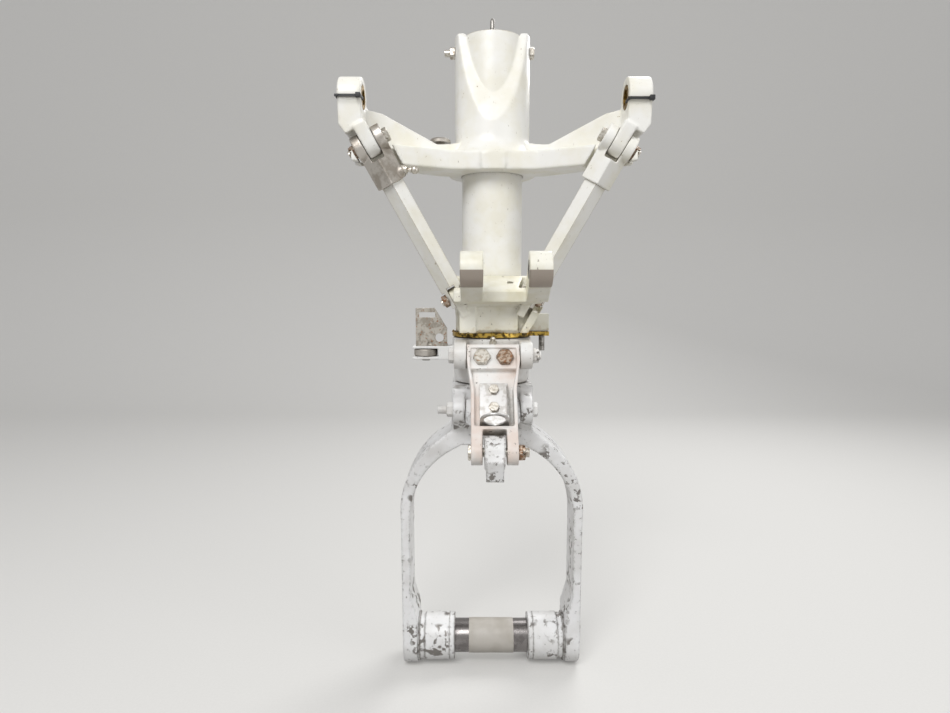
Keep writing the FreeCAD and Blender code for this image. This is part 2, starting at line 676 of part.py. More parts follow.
def make_lower_casting():
    sleeve = turned("sleeve_turned", [
        ("cylinder_dia / 2", "sleeve_base"), ("sleeve_dia / 2", "sleeve_base"),
        ("sleeve_dia / 2", "sleeve_top - 4"), ("sleeve_dia / 2 - 4", "sleeve_top"),
        ("cylinder_dia / 2", "sleeve_top")])
    shelf = padded("shelf", "YZ_Plane", [
        ("0", "sleeve_top"), ("-cylinder_dia / 2", "sleeve_top"),
        ("-shelf_front", "sleeve_top - shelf_drop"),
        ("-shelf_front", "sleeve_top - shelf_drop - shelf_thick"),
        ("-pad_front", "pad_top"), ("0", "pad_top - 14")], "shelf_left + shelf_right", "-shelf_left")
    pad = padded("front_pad", "YZ_Plane", [
        ("0", "pad_top + 8"), ("-pad_front", "pad_top + 2"), ("-pad_front", "sleeve_base + 4"),
        ("-pad_front + 4", "sleeve_base"), ("0", "sleeve_base")], "2 * pad_half", midplane=True)
    rib_left = padded("rib_left", "XZ_Plane", [
        ("-lug_left - lug_width / 2 - 2", "rib_top"), ("-lug_left + rib_thick / 2", "rib_top"),
        ("-lug_left + rib_thick / 2", "sleeve_base + 1"),
        ("-lug_left - lug_width / 2 - 2", "sleeve_base + 1")],
        "rib_front - pad_front / 3", "pad_front / 3")
    rib_right = padded("rib_right", "XZ_Plane", [
        ("lug_right - 2", "rib_top"), ("lug_right + rib_thick", "rib_top"),
        ("pad_half + rib_thick + 2", "sleeve_base + 1"), ("pad_half + 2", "sleeve_base + 1")],
        "rib_front - pad_front / 3", "pad_front / 3")
    side_plate = padded("side_plate", "XZ_Plane", [
        ("pad_half - 2", "rib_top"), ("lug_right + rib_thick / 2", "rib_top"),
        ("pad_half + rib_thick", "sleeve_base + 1"), ("pad_half - 2", "sleeve_base + 1")],
        "side_plate_front - pad_front / 3", "pad_front / 3")
    pieces = [sleeve, shelf, pad, rib_left, rib_right, side_plate]
    tools = [rod("lower_casting_bore", "cylinder_dia", "sleeve_top - sleeve_base + 2",
                 ("0", "0", "sleeve_base - 1"))]
    for word, side in SIDES.items():
        low = "(%d * lug_%s) - lug_width / 2" % (side, word)
        pieces.append(padded("brace_lug_" + word, "YZ_Plane", [
            ("-shelf_front + lug_root", "sleeve_top - shelf_drop + 2"),
            ("-lug_forward", "lug_height + lug_round"),
            ("-lug_forward", "lug_height - lug_round", "lug_round", "left"),
            ("-shelf_front", "sleeve_top - shelf_drop - shelf_thick"),
            ("-shelf_front + lug_root", "sleeve_top - shelf_drop - shelf_thick")], "lug_width", low))
        tools.append(rod("lug_bore_" + word, "lug_bush_dia", "lug_width + 2",
                         (low + " - 1", "-lug_forward", "lug_height"), ALONG_X))
        turn, length = brace_axes(side)
        foot = at_side(FOOT_PIN, side)
        tab = fuse("foot_tab_blank_" + word, [
            rod("foot_tab_eye_" + word, "2 * foot_tab_round", "foot_tab", ("-foot_tab / 2", "0", "0"),
                ALONG_X),
            block("foot_tab_neck_" + word, ("-foot_tab / 2", "-foot_tab_round", "0"),
                  ("foot_tab / 2", "foot_tab_round", "24"))])
        pieces.append(place(tab, foot, turn))
        room = cut("foot_room_" + word, block("foot_room_blank_" + word, ("-foot_room",
                "-foot_room * 0.8", "-60"),
                                                ("foot_room", "foot_room * 0.8",
                                                 "foot_tab_round + 1.5")),
                   [block("foot_room_slab_" + word,
                          ("-foot_tab / 2", "-60", "-foot_tab_round - bolt_gap"),
                          ("foot_tab / 2", "60", "60"))])
        tools.append(place(room, foot, turn))
        hole = fuse("foot_hole_" + word, [
            rod("foot_hole_long_" + word, "brace_bolt_dia", "60", ("-30", "0", "0"), ALONG_X),
            rod("foot_hole_short_" + word, "brace_bolt_dia / 2", "20", ("-10", "0", "0"), ALONG_X)])
        tools.append(place(hole, foot, turn))
    pieces.append(block("stop_lug", ("0", "-6", "sleeve_base + 1"),
                        ("sleeve_dia / 2 + 7 + stop_lug_width", "12", "sleeve_base + 21")))
    seat(cut("lower_casting_solid", fuse("lower_casting_blank", pieces), tools), "lower_casting")

    for word, side in SIDES.items():
        low = "(%d * lug_%s) - lug_width / 2" % (side, word)
        bush = rod("lug_bush_blank_" + word, "lug_bush_dia", "lug_width",
                   (low, "-lug_forward", "lug_height"), ALONG_X)
        hole = rod("lug_bush_hole_" + word, "lug_bush_bore", "lug_width + 2",
                   (low + " - 1", "-lug_forward", "lug_height"), ALONG_X)
        seat(cut("lug_bush_" + word, bush, [hole]), "lug_bushing_" + word)


# ---------------------------------------------------------------- stop ring and gland nut

def make_lower_rings():
    ring = turned("stop_ring_turned", [
        ("cylinder_dia / 2", "stop_ring_base"), ("stop_ring_dia / 2", "stop_ring_base"),
        ("stop_ring_dia / 2", "sleeve_base"), ("cylinder_dia / 2", "sleeve_base")])
    ear = block("stop_ring_ear", ("cylinder_dia / 2 + 2", "-8", "stop_ring_base"),
                ("stop_pin_out + 8", "8", "sleeve_base"))
    hole = rod("stop_ring_hole", "stop_pin_dia", "20", ("stop_pin_out", "0", "stop_ring_base - 2"))
    seat(cut("stop_ring_solid", fuse("stop_ring_blank", [ring, ear]), [hole]), "stop_ring")
    seat(rod("stop_pin_rod", "stop_pin_dia", "stop_pin_length"), "stop_pin",
         ("stop_pin_out", "0", "sleeve_base - stop_pin_length"))

    body = turned("gland_nut_body", [
        ("piston_dia / 2 + bearing_fit", "cylinder_base - gland_lip"),
        ("gland_dia / 2 - 2", "cylinder_base - gland_lip"),
        ("gland_dia / 2", "cylinder_base + 2"), ("gland_dia / 2", "cylinder_base + gland_height"),
        ("cylinder_dia / 2", "cylinder_base + gland_height"), ("cylinder_dia / 2", "cylinder_base"),
        ("piston_dia / 2 + bearing_fit", "cylinder_base")])
    notch = body.newObject("PartDesign::Pocket", "gland_notch")
    notch.Profile = sketch_on(body, "YZ_Plane", [
        ("-notch_width / 2", "cylinder_base - gland_lip - 1"),
        ("notch_width / 2", "cylinder_base - gland_lip - 1"),
        ("notch_width / 2", "cylinder_base + notch_height"),
        ("-notch_width / 2", "cylinder_base + notch_height")], "gland_dia / 2 - notch_depth")
    notch.Reversed = True
    bind(notch, {"Length": "notch_depth + 2"})
    doc.recompute()
    ring_of_notches = body.newObject("PartDesign::PolarPattern", "gland_notches")
    ring_of_notches.Originals = [notch]
    ring_of_notches.Axis = ([item for item in body.Origin.OriginFeatures if item.Role == "Z_Axis"][0],
                            [""])
    ring_of_notches.Angle = 360
    ring_of_notches.Occurrences = int(size_of("notch_count"))
    body.Tip = ring_of_notches
    seat(body, "gland_nut")


# ---------------------------------------------------------------- steering collar

def make_steering():
    ring = turned("collar_turned", [
        ("cylinder_dia / 2 + bearing_fit", "collar_base"), ("collar_dia / 2 - 2", "collar_base"),
        ("collar_dia / 2", "collar_base + 2"), ("collar_dia / 2", "collar_base + collar_height - 2"),
        ("collar_dia / 2 - 2", "collar_base + collar_height"),
        ("cylinder_dia / 2 + bearing_fit", "collar_base + collar_height")])
    pieces = [ring]
    tools = [rod("collar_bore", "cylinder_dia + 2 * bearing_fit", "collar_height + 2",
                 ("0", "0", "collar_base - 1"))]
    for word, side in SIDES.items():
        low = "upper_link_half + side_gap" if side > 0 else "-upper_link_half - side_gap - collar_lug"
        pieces.append(padded("collar_lug_" + word, "YZ_Plane", [
            ("-10", "collar_base + 1"), ("-10", "collar_base + collar_height - 1"),
            ("-upper_pivot_forward", "upper_pivot_height + collar_lug_round"),
            ("-upper_pivot_forward", "upper_pivot_height - collar_lug_round", "collar_lug_round",
             "left")],
            "collar_lug", low))
    tools.append(rod("collar_pivot_bore", "pivot_dia + 2 * bearing_fit", "200",
                     ("-100", "-upper_pivot_forward", "upper_pivot_height"), ALONG_X))
    arm_top = "steer_arm_base + steer_arm_thick"
    pieces.append(padded("steer_arm", "XZ_Plane", [
        ("-20", arm_top), ("-steer_arm_out", arm_top), ("-steer_arm_out", "steer_arm_base"),
        ("-collar_dia / 2 - 8", "steer_arm_base"),
        ("-collar_dia / 2 + 2", "collar_base + 1", "14", "right"),
        ("-20", "collar_base + 1")], "steer_arm_deep", midplane=True))
    middle = "(steer_arm_base + steer_arm_thick / 2)"
    half_slot = "(roller_thick / 2 + roller_gap)"
    tools.append(block("roller_slot", ("-steer_arm_out - 1", "-steer_arm_deep", "%s - %s" % (middle,
            half_slot)),
                       ("-roller_out + roller_dia / 2 + 2", "steer_arm_deep",
                        "%s + %s" % (middle, half_slot))))
    tools.append(rod("roller_pin_bore", "roller_pin_dia", "steer_arm_thick + 2",
                     ("-roller_out", "0", "steer_arm_base - 1")))
    solid = cut("collar_solid", fuse("collar_blank", pieces), tools)
    seat(solid, "steering_collar")

    roller = turned("roller_turned", [
        ("roller_pin_dia / 2 + bearing_fit", "-roller_thick / 2"),
        ("roller_dia / 2 - 1.2", "-roller_thick / 2"),
        ("roller_dia / 2", "-roller_thick / 2 + 1.2"), ("roller_dia / 2", "roller_thick / 2 - 1.2"),
        ("roller_dia / 2 - 1.2", "roller_thick / 2"),
        ("roller_pin_dia / 2 + bearing_fit", "roller_thick / 2")])
    seat(roller, "steering_roller", ("-roller_out", "0", middle))
    pin = rod("roller_pin_shank", "roller_pin_dia", "steer_arm_thick", ("0", "0", "0"))
    head = rod("roller_pin_head", "roller_pin_dia * 1.6", "2", ("0", "0", "-2"))
    seat(fuse("roller_pin_solid", [pin, head]), "roller_pin", ("-roller_out", "0", "steer_arm_base"))

    front = "-steer_arm_deep / 2"
    plate = padded("bracket_plate", "XZ_Plane", [
        ("-bracket_outer", arm_top), ("-bracket_outer", arm_top + " + bracket_height"),
        ("-bracket_inner - 17", arm_top + " + bracket_height"),
        ("-bracket_inner - 2", arm_top + " + bracket_height * 0.45"), ("-bracket_inner - 2", arm_top)],
        "bracket_sheet", "-(%s) - bracket_sheet" % front)
    foot = block("bracket_foot", ("-bracket_outer", front, arm_top),
                 ("-bracket_inner - 2", "steer_arm_deep / 2 - 2",
                                                                    arm_top + " + bracket_sheet"))
    fold = padded("bracket_fold_pad", "XZ_Plane", [
        ("-bracket_inner - 17", arm_top + " + bracket_height"),
        ("-bracket_inner - 17 - bracket_sheet", arm_top + " + bracket_height"),
        ("-bracket_inner - 2 - bracket_sheet", arm_top + " + bracket_height * 0.45"),
        ("-bracket_inner - 2", arm_top + " + bracket_height * 0.45")], "bracket_fold",
        "-(%s) - bracket_fold" % front)
    slot_low = arm_top + " + bracket_height - 5 - bracket_slot_high"
    slot = block("bracket_slot", ("-bracket_outer + 4", front + " - 3", slot_low),
                 ("-bracket_outer + 4 + bracket_slot_long", front + " + 3",
                  slot_low + " + bracket_slot_high"))
    hole = rod("bracket_round_hole", "bracket_hole", "12",
               ("-bracket_inner - 11", front + " - 6", arm_top + " + 10"), ALONG_Y)
    notch = block("bracket_notch", ("-bracket_outer + 14", front + " - 3", arm_top + " - 1"),
                  ("-bracket_outer + 19", front + " + bracket_sheet - 0.01", arm_top + " + 5"))
    screw_holes = [rod("bracket_screw_hole_%d" % step, "4", "8",
                       ("-bracket_outer + %d" % out, "4", arm_top + " - 2"))
                   for step, out in enumerate((8, 32))]
    seat(cut("bracket_solid", fuse("bracket_blank", [plate, foot, fold]),
             [slot, hole, notch] + screw_holes),
         "stop_bracket")
    for step, out in enumerate((8, 32), start=1):
        hex_bolt("bracket_screw_%d" % step, "4", "bracket_sheet",
                 ("-bracket_outer + %d" % out, "4", arm_top + " + bracket_sheet"),
                 FreeCAD.Rotation(FreeCAD.Vector(1, 0, 0), 180), flats="7", head="3")

    outer = "upper_link_half + side_gap + collar_lug"
    hex_bolt("upper_pivot_bolt", "pivot_dia", "2 * (%s) + pivot_dia" % outer,
             ("-(%s)" % outer, "-upper_pivot_forward", "upper_pivot_height"), ALONG_X)
    hex_nut("upper_pivot_nut", "pivot_dia", (outer, "-upper_pivot_forward", "upper_pivot_height"),
            ALONG_X, castle=True)


# ---------------------------------------------------------------- torque links

UPPER_SPAN = "sqrt((apex_forward - upper_pivot_forward) ^ 2 + (upper_pivot_height - apex_height) ^ 2)"
LOWER_SPAN = "sqrt((apex_forward - lower_pivot_forward) ^ 2 + (lower_pivot_height - apex_height) ^ 2)"


def make_upper_link():
    """Local frame: origin on the upper pivot, apex along -Z, front face towards -Y."""
    lean = -math.degrees(math.atan2(size_of("apex_forward - upper_pivot_forward"),
                                    size_of("upper_pivot_height - apex_height")))
    turn = FreeCAD.Rotation(FreeCAD.Vector(1, 0, 0), lean)
    at = ("0", "-upper_pivot_forward", "upper_pivot_height")
    span = UPPER_SPAN
    half = "upper_link_half"
    front = padded("upper_link_front_outline", "XZ_Plane", [
        ("-" + half, "upper_link_round"), (half, "upper_link_round"), (half, "-upper_link_round"),
        ("upper_link_waist", "-%s * 0.4" % span), ("upper_link_waist", "-%s * 0.7" % span),
        ("clevis_half", "-%s * 0.8" % span), ("clevis_half", "-%s - clevis_round" % span),
        ("-clevis_half", "-%s - clevis_round" % span), ("-clevis_half", "-%s * 0.8" % span),
        ("-upper_link_waist", "-%s * 0.7" % span), ("-upper_link_waist", "-%s * 0.4" % span),
        ("-" + half, "-upper_link_round")], "80", midplane=True)
    profile = padded("upper_link_side_outline", "YZ_Plane", [
        ("upper_link_round", "0"), ("0", "upper_link_round", "upper_link_round", "left"),
        ("-upper_link_round", "upper_link_round * 0.6"), ("-upper_link_round", "-upper_link_round"),
        ("-upper_link_front", "-%s * 0.3" % span), ("-upper_link_front", "-%s * 0.7" % span),
        ("-clevis_round", "-" + span), ("clevis_round", "-" + span, "clevis_round", "left"),
        ("upper_link_back", "-%s + clevis_slot_reach" % span),
        ("upper_link_back", "-upper_link_round * 1.6")],
        "80", midplane=True)
    blank = common("upper_link_blank", front, profile)
    rim = "upper_link_rim"
    recess = padded("upper_link_recess", "XZ_Plane", [
        ("-%s + %s" % (half, rim), "-recess_start"), ("%s - %s" % (half, rim), "-recess_start"),
        ("upper_link_waist - " + rim, "-%s * 0.4" % span),
        ("upper_link_waist - " + rim, "-%s + clevis_slot_reach + %s" % (span, rim)),
        ("-upper_link_waist + " + rim, "-%s + clevis_slot_reach + %s" % (span, rim)),
        ("-upper_link_waist + " + rim, "-%s * 0.4" % span)],
        "30", "upper_link_front - recess_depth")
    panel = padded("upper_link_panel", "XZ_Plane", [
        ("-%s + %s" % (half, rim), "panel_top"), ("%s - %s" % (half, rim), "panel_top"),
        ("%s - %s" % (half, rim), "-recess_start - 1"), ("-%s + %s" % (half, rim), "-recess_start - 1")],
        "30", "upper_link_round - panel_depth")
    slot = block("upper_link_slot", ("-clevis_slot / 2", "-40", "-%s - 40" % span),
                 ("clevis_slot / 2", "40", "-%s + clevis_slot_reach" % span))
    pivot = rod("upper_link_pivot_bore", "pivot_dia + 2 * bearing_fit", "100", ("-50", "0", "0"),
                ALONG_X)
    apex = rod("upper_link_apex_bore", "pivot_dia", "100", ("-50", "0", "-" + span), ALONG_X)
    tools = [recess, panel, slot, pivot, apex]
    for word, side in SIDES.items():
        tools.append(rod("face_bolt_bore_" + word, "face_bolt_dia", "panel_depth + face_bolt_grip + 1",
                         ("%d * face_bolt_out" % side, "-upper_link_round - 1", "-face_bolt_drop"),
                         ALONG_Y))
    for step, down in enumerate(("screw_high", "screw_low")):
        tools.append(rod("bracket_bore_%d" % step, "screw_dia", "30", ("0", "-20", "-" + down), ALONG_Y))
    tools.append(rod("fitting_bore", "fitting_dia", "12", ("0", "-5", "upper_link_round * 0.8 - 4"),
                     UPRIGHT))
    seat(cut("upper_link_solid", blank, tools), "upper_torque_link", at, turn)

    def on_link(x, y, z):
        """A point of the link's own frame, in the strut's coordinates."""
        spot = turn.multVec(FreeCAD.Vector(size_of(x), size_of(y), size_of(z)))
        spot += FreeCAD.Vector(*[size_of(text) for text in at])
        return tuple("%.4f" % number for number in spot)

    facing = turn.multiply(ALONG_Y)
    for word, side in SIDES.items():
        hex_bolt("link_face_bolt_" + word, "face_bolt_dia", "face_bolt_grip - 0.5",
                 on_link("%d * face_bolt_out" % side, "-upper_link_round + panel_depth",
                         "-face_bolt_drop"), facing,
                 flats="face_bolt_flats", head="6")
    stub = turned("fitting_turned", [
        ("0", "-4"), ("fitting_dia / 2", "-4"), ("fitting_dia / 2", "5"), ("fitting_dia * 0.3", "7"),
        ("fitting_dia * 0.4", "9"), ("fitting_dia * 0.25", "11"), ("0", "11")])
    seat(stub, "grease_fitting", on_link("0", "-5", "upper_link_round * 0.8"), turn)

    floor = "-upper_link_front + recess_depth"
    ahead = "upper_link_front - recess_depth"
    sheet_thick = "bracket_sheet"
    plate = block("clip_plate", ("-clip_half", floor + " - bracket_sheet", "-clip_foot"),
                  ("clip_half", floor, "-clip_head"))
    flange = padded("clip_flange", "YZ_Plane", [
        (floor, "-clip_head - 4"), (floor, "-clip_foot"), (floor + " - clip_reach", "-clip_foot"),
        (floor + " - clip_reach", "-clip_foot + 6"), (floor + " - 4", "-clip_head - 4")],
        sheet_thick, "clip_half - bracket_sheet")
    shelf = block("clip_shelf", ("-clip_half", floor + " - clip_reach", "-clip_foot"),
                  ("clip_half", floor, "-clip_foot + bracket_sheet"))
    loop = rod("clip_loop", "2 * clip_half", sheet_thick, ("0", floor + " - clip_reach", "-clip_foot"))
    loop_hole = rod("clip_loop_hole", "2 * clip_half - 7", "8",
                    ("0", floor + " - clip_reach", "-clip_foot - 3"))
    screws = [rod("clip_screw_bore_%d" % step, "screw_dia", "30", ("0", "-20", "-" + down), ALONG_Y)
              for step, down in enumerate(("screw_high", "screw_low"))]
    seat(cut("clip_solid", fuse("clip_blank", [plate, flange, shelf, loop]), [loop_hole] + screws),
         "link_clip", at, turn)
    for step, down in enumerate(("screw_high", "screw_low"), start=1):
        hex_bolt("link_clip_screw_%d" % step, "screw_dia", ahead + " + upper_link_back",
                 on_link("0", floor + " - bracket_sheet", "-" + down), facing, flats="10", head="4")

    reach = "clevis_half"
    hex_bolt("apex_bolt", "pivot_dia", "2 * clevis_half + pivot_dia * 1.2",
             on_link("-" + reach, "0", "-" + span), turn.multiply(ALONG_X), head="3.2")
    hex_nut("apex_nut", "pivot_dia", on_link(reach, "0", "-" + span), turn.multiply(ALONG_X),
            castle=True)


def make_lower_link():
    """Local frame: origin on the lower pivot, apex along +Z, upper face towards +Y."""
    lean = math.degrees(math.atan2(size_of("apex_forward - lower_pivot_forward"),
                                   size_of("apex_height - lower_pivot_height")))
    turn = FreeCAD.Rotation(FreeCAD.Vector(1, 0, 0), lean)
    span = LOWER_SPAN
    half = "lower_link_half"
    tongue = "tongue_width / 2"
    front = padded("lower_link_outline", "XZ_Plane", [
        (half, "-lower_link_round"), (half, "%s * 0.22" % span), (tongue, "%s * 0.55" % span),
        (tongue, span), ("-" + tongue, span), ("-" + tongue, "%s * 0.55" % span),
        ("-" + half, "%s * 0.22" % span),
        ("-" + half, "-lower_link_round"), ("-%s + lower_link_arm" % half, "-lower_link_round"),
        ("-%s + lower_link_arm" % half, "%s * 0.16" % span), ("-4", "%s * 0.36" % span),
        ("4", "%s * 0.36" % span),
        ("%s - lower_link_arm" % half, "%s * 0.16" % span),
        ("%s - lower_link_arm" % half, "-lower_link_round")],
        "80", midplane=True)
    profile = padded("lower_link_profile", "YZ_Plane", [
        ("lower_link_round", "0"), ("lower_link_thick / 2", "lower_link_round * 1.5"),
        ("lower_link_thick / 2", span), ("-lower_link_thick / 2", span),
        ("-lower_link_thick / 2", "lower_link_round * 1.5"), ("-lower_link_round", "0"),
        ("lower_link_round", "0", "lower_link_round", "left")][1:], "80", midplane=True)
    knuckle = rod("lower_link_knuckle", "2 * tongue_round", "tongue_width", ("-" + tongue, "0", span),
                  ALONG_X)
    tip = block("lower_link_tip", ("-tip_width / 2", "lower_link_thick / 2 - tip_drop",
                                   span + " + tongue_round - 5"),
                ("tip_width / 2", "lower_link_thick / 2", span + " + tongue_round - 5 + tip_length"))
    tip_hole = rod("lower_link_tip_hole", "tip_hole", "40",
                   ("-20", "lower_link_thick / 2 - tip_drop + tip_hole",
                    span + " + tongue_round + tip_length / 2 - 3"),
                   ALONG_X)
    pivot = rod("lower_link_pivot_bore", "pivot_dia + 2 * bearing_fit", "100", ("-50", "0", "0"),
                ALONG_X)
    apex = rod("lower_link_apex_bore", "pivot_dia + 2 * apex_play", "60", ("-30", "0", span), ALONG_X)
    blank = fuse("lower_link_blank", [common("lower_link_arms", front, profile), knuckle, tip])
    seat(cut("lower_link_solid", blank, [pivot, apex, tip_hole]), "lower_torque_link",
         ("0", "-lower_pivot_forward", "lower_pivot_height"), turn)


# ---------------------------------------------------------------- fork and piston

def make_fork():
    out, inside, mid = "leg_out - 1", "fork_inside", "leg_out - leg_thick"
    right = [
        ("crown_half", "crown_top"), ("crown_half", "crown_neck"),
        ("crown_half + 14", "crown_neck - 11"),
        ("leg_out", "shoulder_height", "shoulder_round", "right"), (out, "0"), (out, "-leg_end_round"),
        (inside, "-leg_end_round"), (inside, "leg_end_round + 4"), (mid, "leg_end_round * 2"),
        (mid, "shoulder_height"), ("crown_half + 3", "crown_under - 8", "shoulder_inner_round", "left"),
        ("crown_half - 11", "crown_under")]
    left = []
    for index in range(len(right) - 1, -1, -1):
        stop = right[index]
        arrival = right[index + 1] if index + 1 < len(right) else stop
        mirrored = ("-(%s)" % stop[0], stop[1])
        if len(arrival) == 4:
            mirrored += (arrival[2], arrival[3])
        left.append(mirrored)
    front = padded("fork_front_outline", "XZ_Plane", right + left, "200", midplane=True)
    profile = padded("fork_side_outline", "YZ_Plane", [
        ("leg_end_round", "0"), ("leg_deep / 2", "leg_end_round * 1.6"),
        ("leg_deep / 2", "shoulder_height + 30"),
        ("crown_front + 3", "crown_under"), ("crown_front + 3", "crown_top"),
        ("-crown_front", "crown_top"),
        ("-crown_front", "crown_under"), ("-leg_deep / 2", "shoulder_height + 30"),
        ("-leg_deep / 2", "leg_end_round * 1.6"), ("-leg_end_round", "0"),
        ("0", "-leg_end_round", "leg_end_round", "left"),
        ("leg_end_round", "0", "leg_end_round", "left")][1:],
        "300", midplane=True)
    pieces = [common("fork_band", front, profile)]
    for word, side in SIDES.items():
        low = "lower_link_half + side_gap" if side > 0 else "-lower_link_half - side_gap - fork_lug"
        pieces.append(padded("fork_lug_" + word, "YZ_Plane", [
            ("-crown_front + 12", "crown_top - 4"),
            ("-lower_pivot_forward", "lower_pivot_height + fork_lug_round"),
            ("-lower_pivot_forward", "lower_pivot_height - fork_lug_round", "fork_lug_round", "left"),
            ("-crown_front + 12", "crown_under + 8")], "fork_lug", low))
    tools = [
        rod("fork_piston_bore", "piston_dia", "crown_top - piston_foot + 1", ("0", "0", "piston_foot")),
        rod("fork_pivot_bore", "pivot_dia + 2 * bearing_fit", "200",
            ("-100", "-lower_pivot_forward", "lower_pivot_height"), ALONG_X),
        rod("fork_rod_bore", "rod_dia", "400", ("-200", "0", "0"), ALONG_X)]
    for word, side in SIDES.items():
        start = out + " - rod_head_thick" if side > 0 else "-(%s) - 1" % out
        tools.append(rod("fork_rod_sink_" + word, "rod_head + 0.4", "rod_head_thick + 1",
                         (start, "0", "0"), ALONG_X))
    seat(cut("fork_solid", fuse("fork_blank", pieces), tools), "fork")

    piston = turned("piston_turned", [
        ("0", "piston_foot"), ("piston_dia / 2", "piston_foot"),
        ("piston_dia / 2", "piston_top - piston_head"),
        ("cylinder_bore / 2 - bearing_fit", "piston_top - piston_head"),
        ("cylinder_bore / 2 - bearing_fit", "piston_top"), ("piston_bore / 2", "piston_top"),
        ("piston_bore / 2", "crown_top - 20"), ("0", "crown_top - 20")])
    seat(piston, "piston_tube")

    outer = "lower_link_half + side_gap + fork_lug"
    hex_bolt("lower_pivot_bolt", "pivot_dia", "2 * (%s) + pivot_dia * 1.8" % outer,
             (outer, "-lower_pivot_forward", "lower_pivot_height"),
             FreeCAD.Rotation(FreeCAD.Vector(0, 1, 0), -90))
    hex_nut("lower_pivot_nut", "pivot_dia", ("-(%s)" % outer, "-lower_pivot_forward",
                                             "lower_pivot_height"),
            FreeCAD.Rotation(FreeCAD.Vector(0, 1, 0), -90))


# ---------------------------------------------------------------- axle

def make_axle():
    tube = turned("axle_tube_turned", [
        ("rod_dia / 2", "-fork_inside"), ("axle_dia / 2", "-fork_inside"),
        ("axle_dia / 2", "fork_inside"), ("rod_dia / 2", "fork_inside")])
    seat(tube, "axle_tube", turn=ALONG_X)
    sleeve = turned("axle_sleeve_turned", [
        ("axle_dia / 2", "-sleeve_half"), ("axle_dia / 2 + sleeve_step", "-sleeve_half"),
        ("axle_dia / 2 + sleeve_step", "sleeve_half"), ("axle_dia / 2", "sleeve_half")])
    seat(sleeve, "axle_sleeve", turn=ALONG_X)
    for word, side in SIDES.items():
        wall = "spacer_dia / 2"
        spacer = turned("axle_spacer_turned_" + word, [
            ("axle_dia / 2", "0"), (wall + " - 0.8", "0"), (wall + " - 0.8", "%d * spacer_bare" % side),
            (wall, "%d * (spacer_bare + 0.8)" % side), (wall, "%d * (spacer_length - 9)" % side),
            (wall + " - 1.2", "%d * (spacer_length - 8)" % side),
            (wall + " - 1.2", "%d * (spacer_length - 2)" % side),
            (wall + " + 1", "%d * (spacer_length - 2)" % side),
            (wall + " + 1", "%d * spacer_length" % side),
            ("axle_dia / 2", "%d * spacer_length" % side)])
        seat(spacer, "axle_spacer_" + word, ("%d * (fork_inside - spacer_length)" % side, "0", "0"),
             ALONG_X)
        out = "%d * (leg_out - 1 - rod_head_thick)" % side
        plug = rod("rod_plug_disc_" + word, "rod_head", "rod_head_thick",
                   (out if side > 0 else out + " - rod_head_thick", "0", "0"), ALONG_X)
        socket = hexagon("rod_plug_socket_" + word, "rod_head * 0.4", "6",
                         ("%d * (leg_out - 1) - 3" % side, "0", "0"), ALONG_X)
        seat(cut("rod_plug_" + word, plug, [socket]), "axle_plug_" + word)
    reach = "leg_out - 1 - rod_head_thick"
    seat(rod("axle_rod_bar", "rod_dia", "2 * (%s)" % reach), "axle_rod", ("-(%s)" % reach, "0", "0"),
         ALONG_X)


# ---------------------------------------------------------------- small fittings

def make_fittings():
    turn, _ = brace_axes(-1)
    clevis = doc.addObject("Part::Box", "ball_stud_clevis_room")
    bind(clevis, {"Length": "60", "Width": "80", "Height": "80"})
    clevis.Placement = FreeCAD.Placement(turn.multVec(FreeCAD.Vector(-60, -40, -40)), turn)
    stud = turned("ball_stud_turned", [
        ("0", "-8"), ("5", "-8"), ("5", "4"), ("2.5", "5"), ("2.5", "9"), ("0", "9")])
    ball = place(doc.addObject("Part::Sphere", "ball_stud_ball"), ("0", "0", "12"))
    bind(ball, {"Radius": "ball_dia / 2"})
    whole = fuse("ball_stud_blank", [stud, ball])
    whole.Placement = FreeCAD.Placement(FreeCAD.Vector(), ALONG_X)
    spot = FreeCAD.Vector(-size_of("brace_top_out"), -size_of("trunnion_forward"),
                          size_of("brace_top_height"))
    spot += turn.multVec(FreeCAD.Vector(size_of("brace_clevis_width") / 2, 0, size_of("stud_drop")))
    seat(cut("ball_stud_solid", whole, [clevis]), "ball_stud", tuple("%.4f" % number for number in spot))

    port = turned("arm_cap_turned", [
        ("0", "0"), ("port_dia * 0.22", "0"), ("port_dia * 0.22", "port_rise"),
        ("port_dia / 2", "port_rise"),
        ("port_dia / 2", "port_rise + 3"), ("port_dia / 2 - 2", "port_rise + 5"),
        ("0", "port_rise + 5")])
    seat(port, "side_port", ("-arm_straight * 1.25", "-arm_back - port_dia * 0.35", "arm_top"))


def export():
    doc.recompute()
    for item in doc.Objects:
        if {"Invalid", "Error"} & set(item.State):
            raise RuntimeError("%s failed: %s" % (item.Name, item.State))
    os.makedirs("parts", exist_ok=True)
    for item in sub_parts:
        if item.Shape.isNull() or not item.Shape.isValid():
            raise RuntimeError("%s has no valid shape" % item.Label)
        if len(item.Shape.Solids) != 1:
            print("several solids:", item.Label, len(item.Shape.Solids))
        item.Shape.exportStep(os.path.join("parts", item.Label + ".step"))
    print(len(sub_parts), "sub-parts written")


make_cylinder()
make_trunnion_casting()
make_braces()
make_lower_casting()
make_lower_rings()
make_steering()
make_upper_link()
make_lower_link()
make_fork()
make_axle()
make_fittings()
export()
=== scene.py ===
# %% [markdown]
# # A nose landing gear strut, dressed for its render
# The solids of this strut come from CAD and keep their places. What Blender adds is what CAD
# leaves out: paint that has chipped on the corners, grease that has crept out of a joint, the
# nylon ties on the ears, and the split pins through the castle nuts. Each step below makes one
# of these, and says what it is on the real strut before it makes it.

# %% Load the frame
import math
from statistics import NormalDist

import bmesh
import bpy
from mathutils import Matrix, Vector


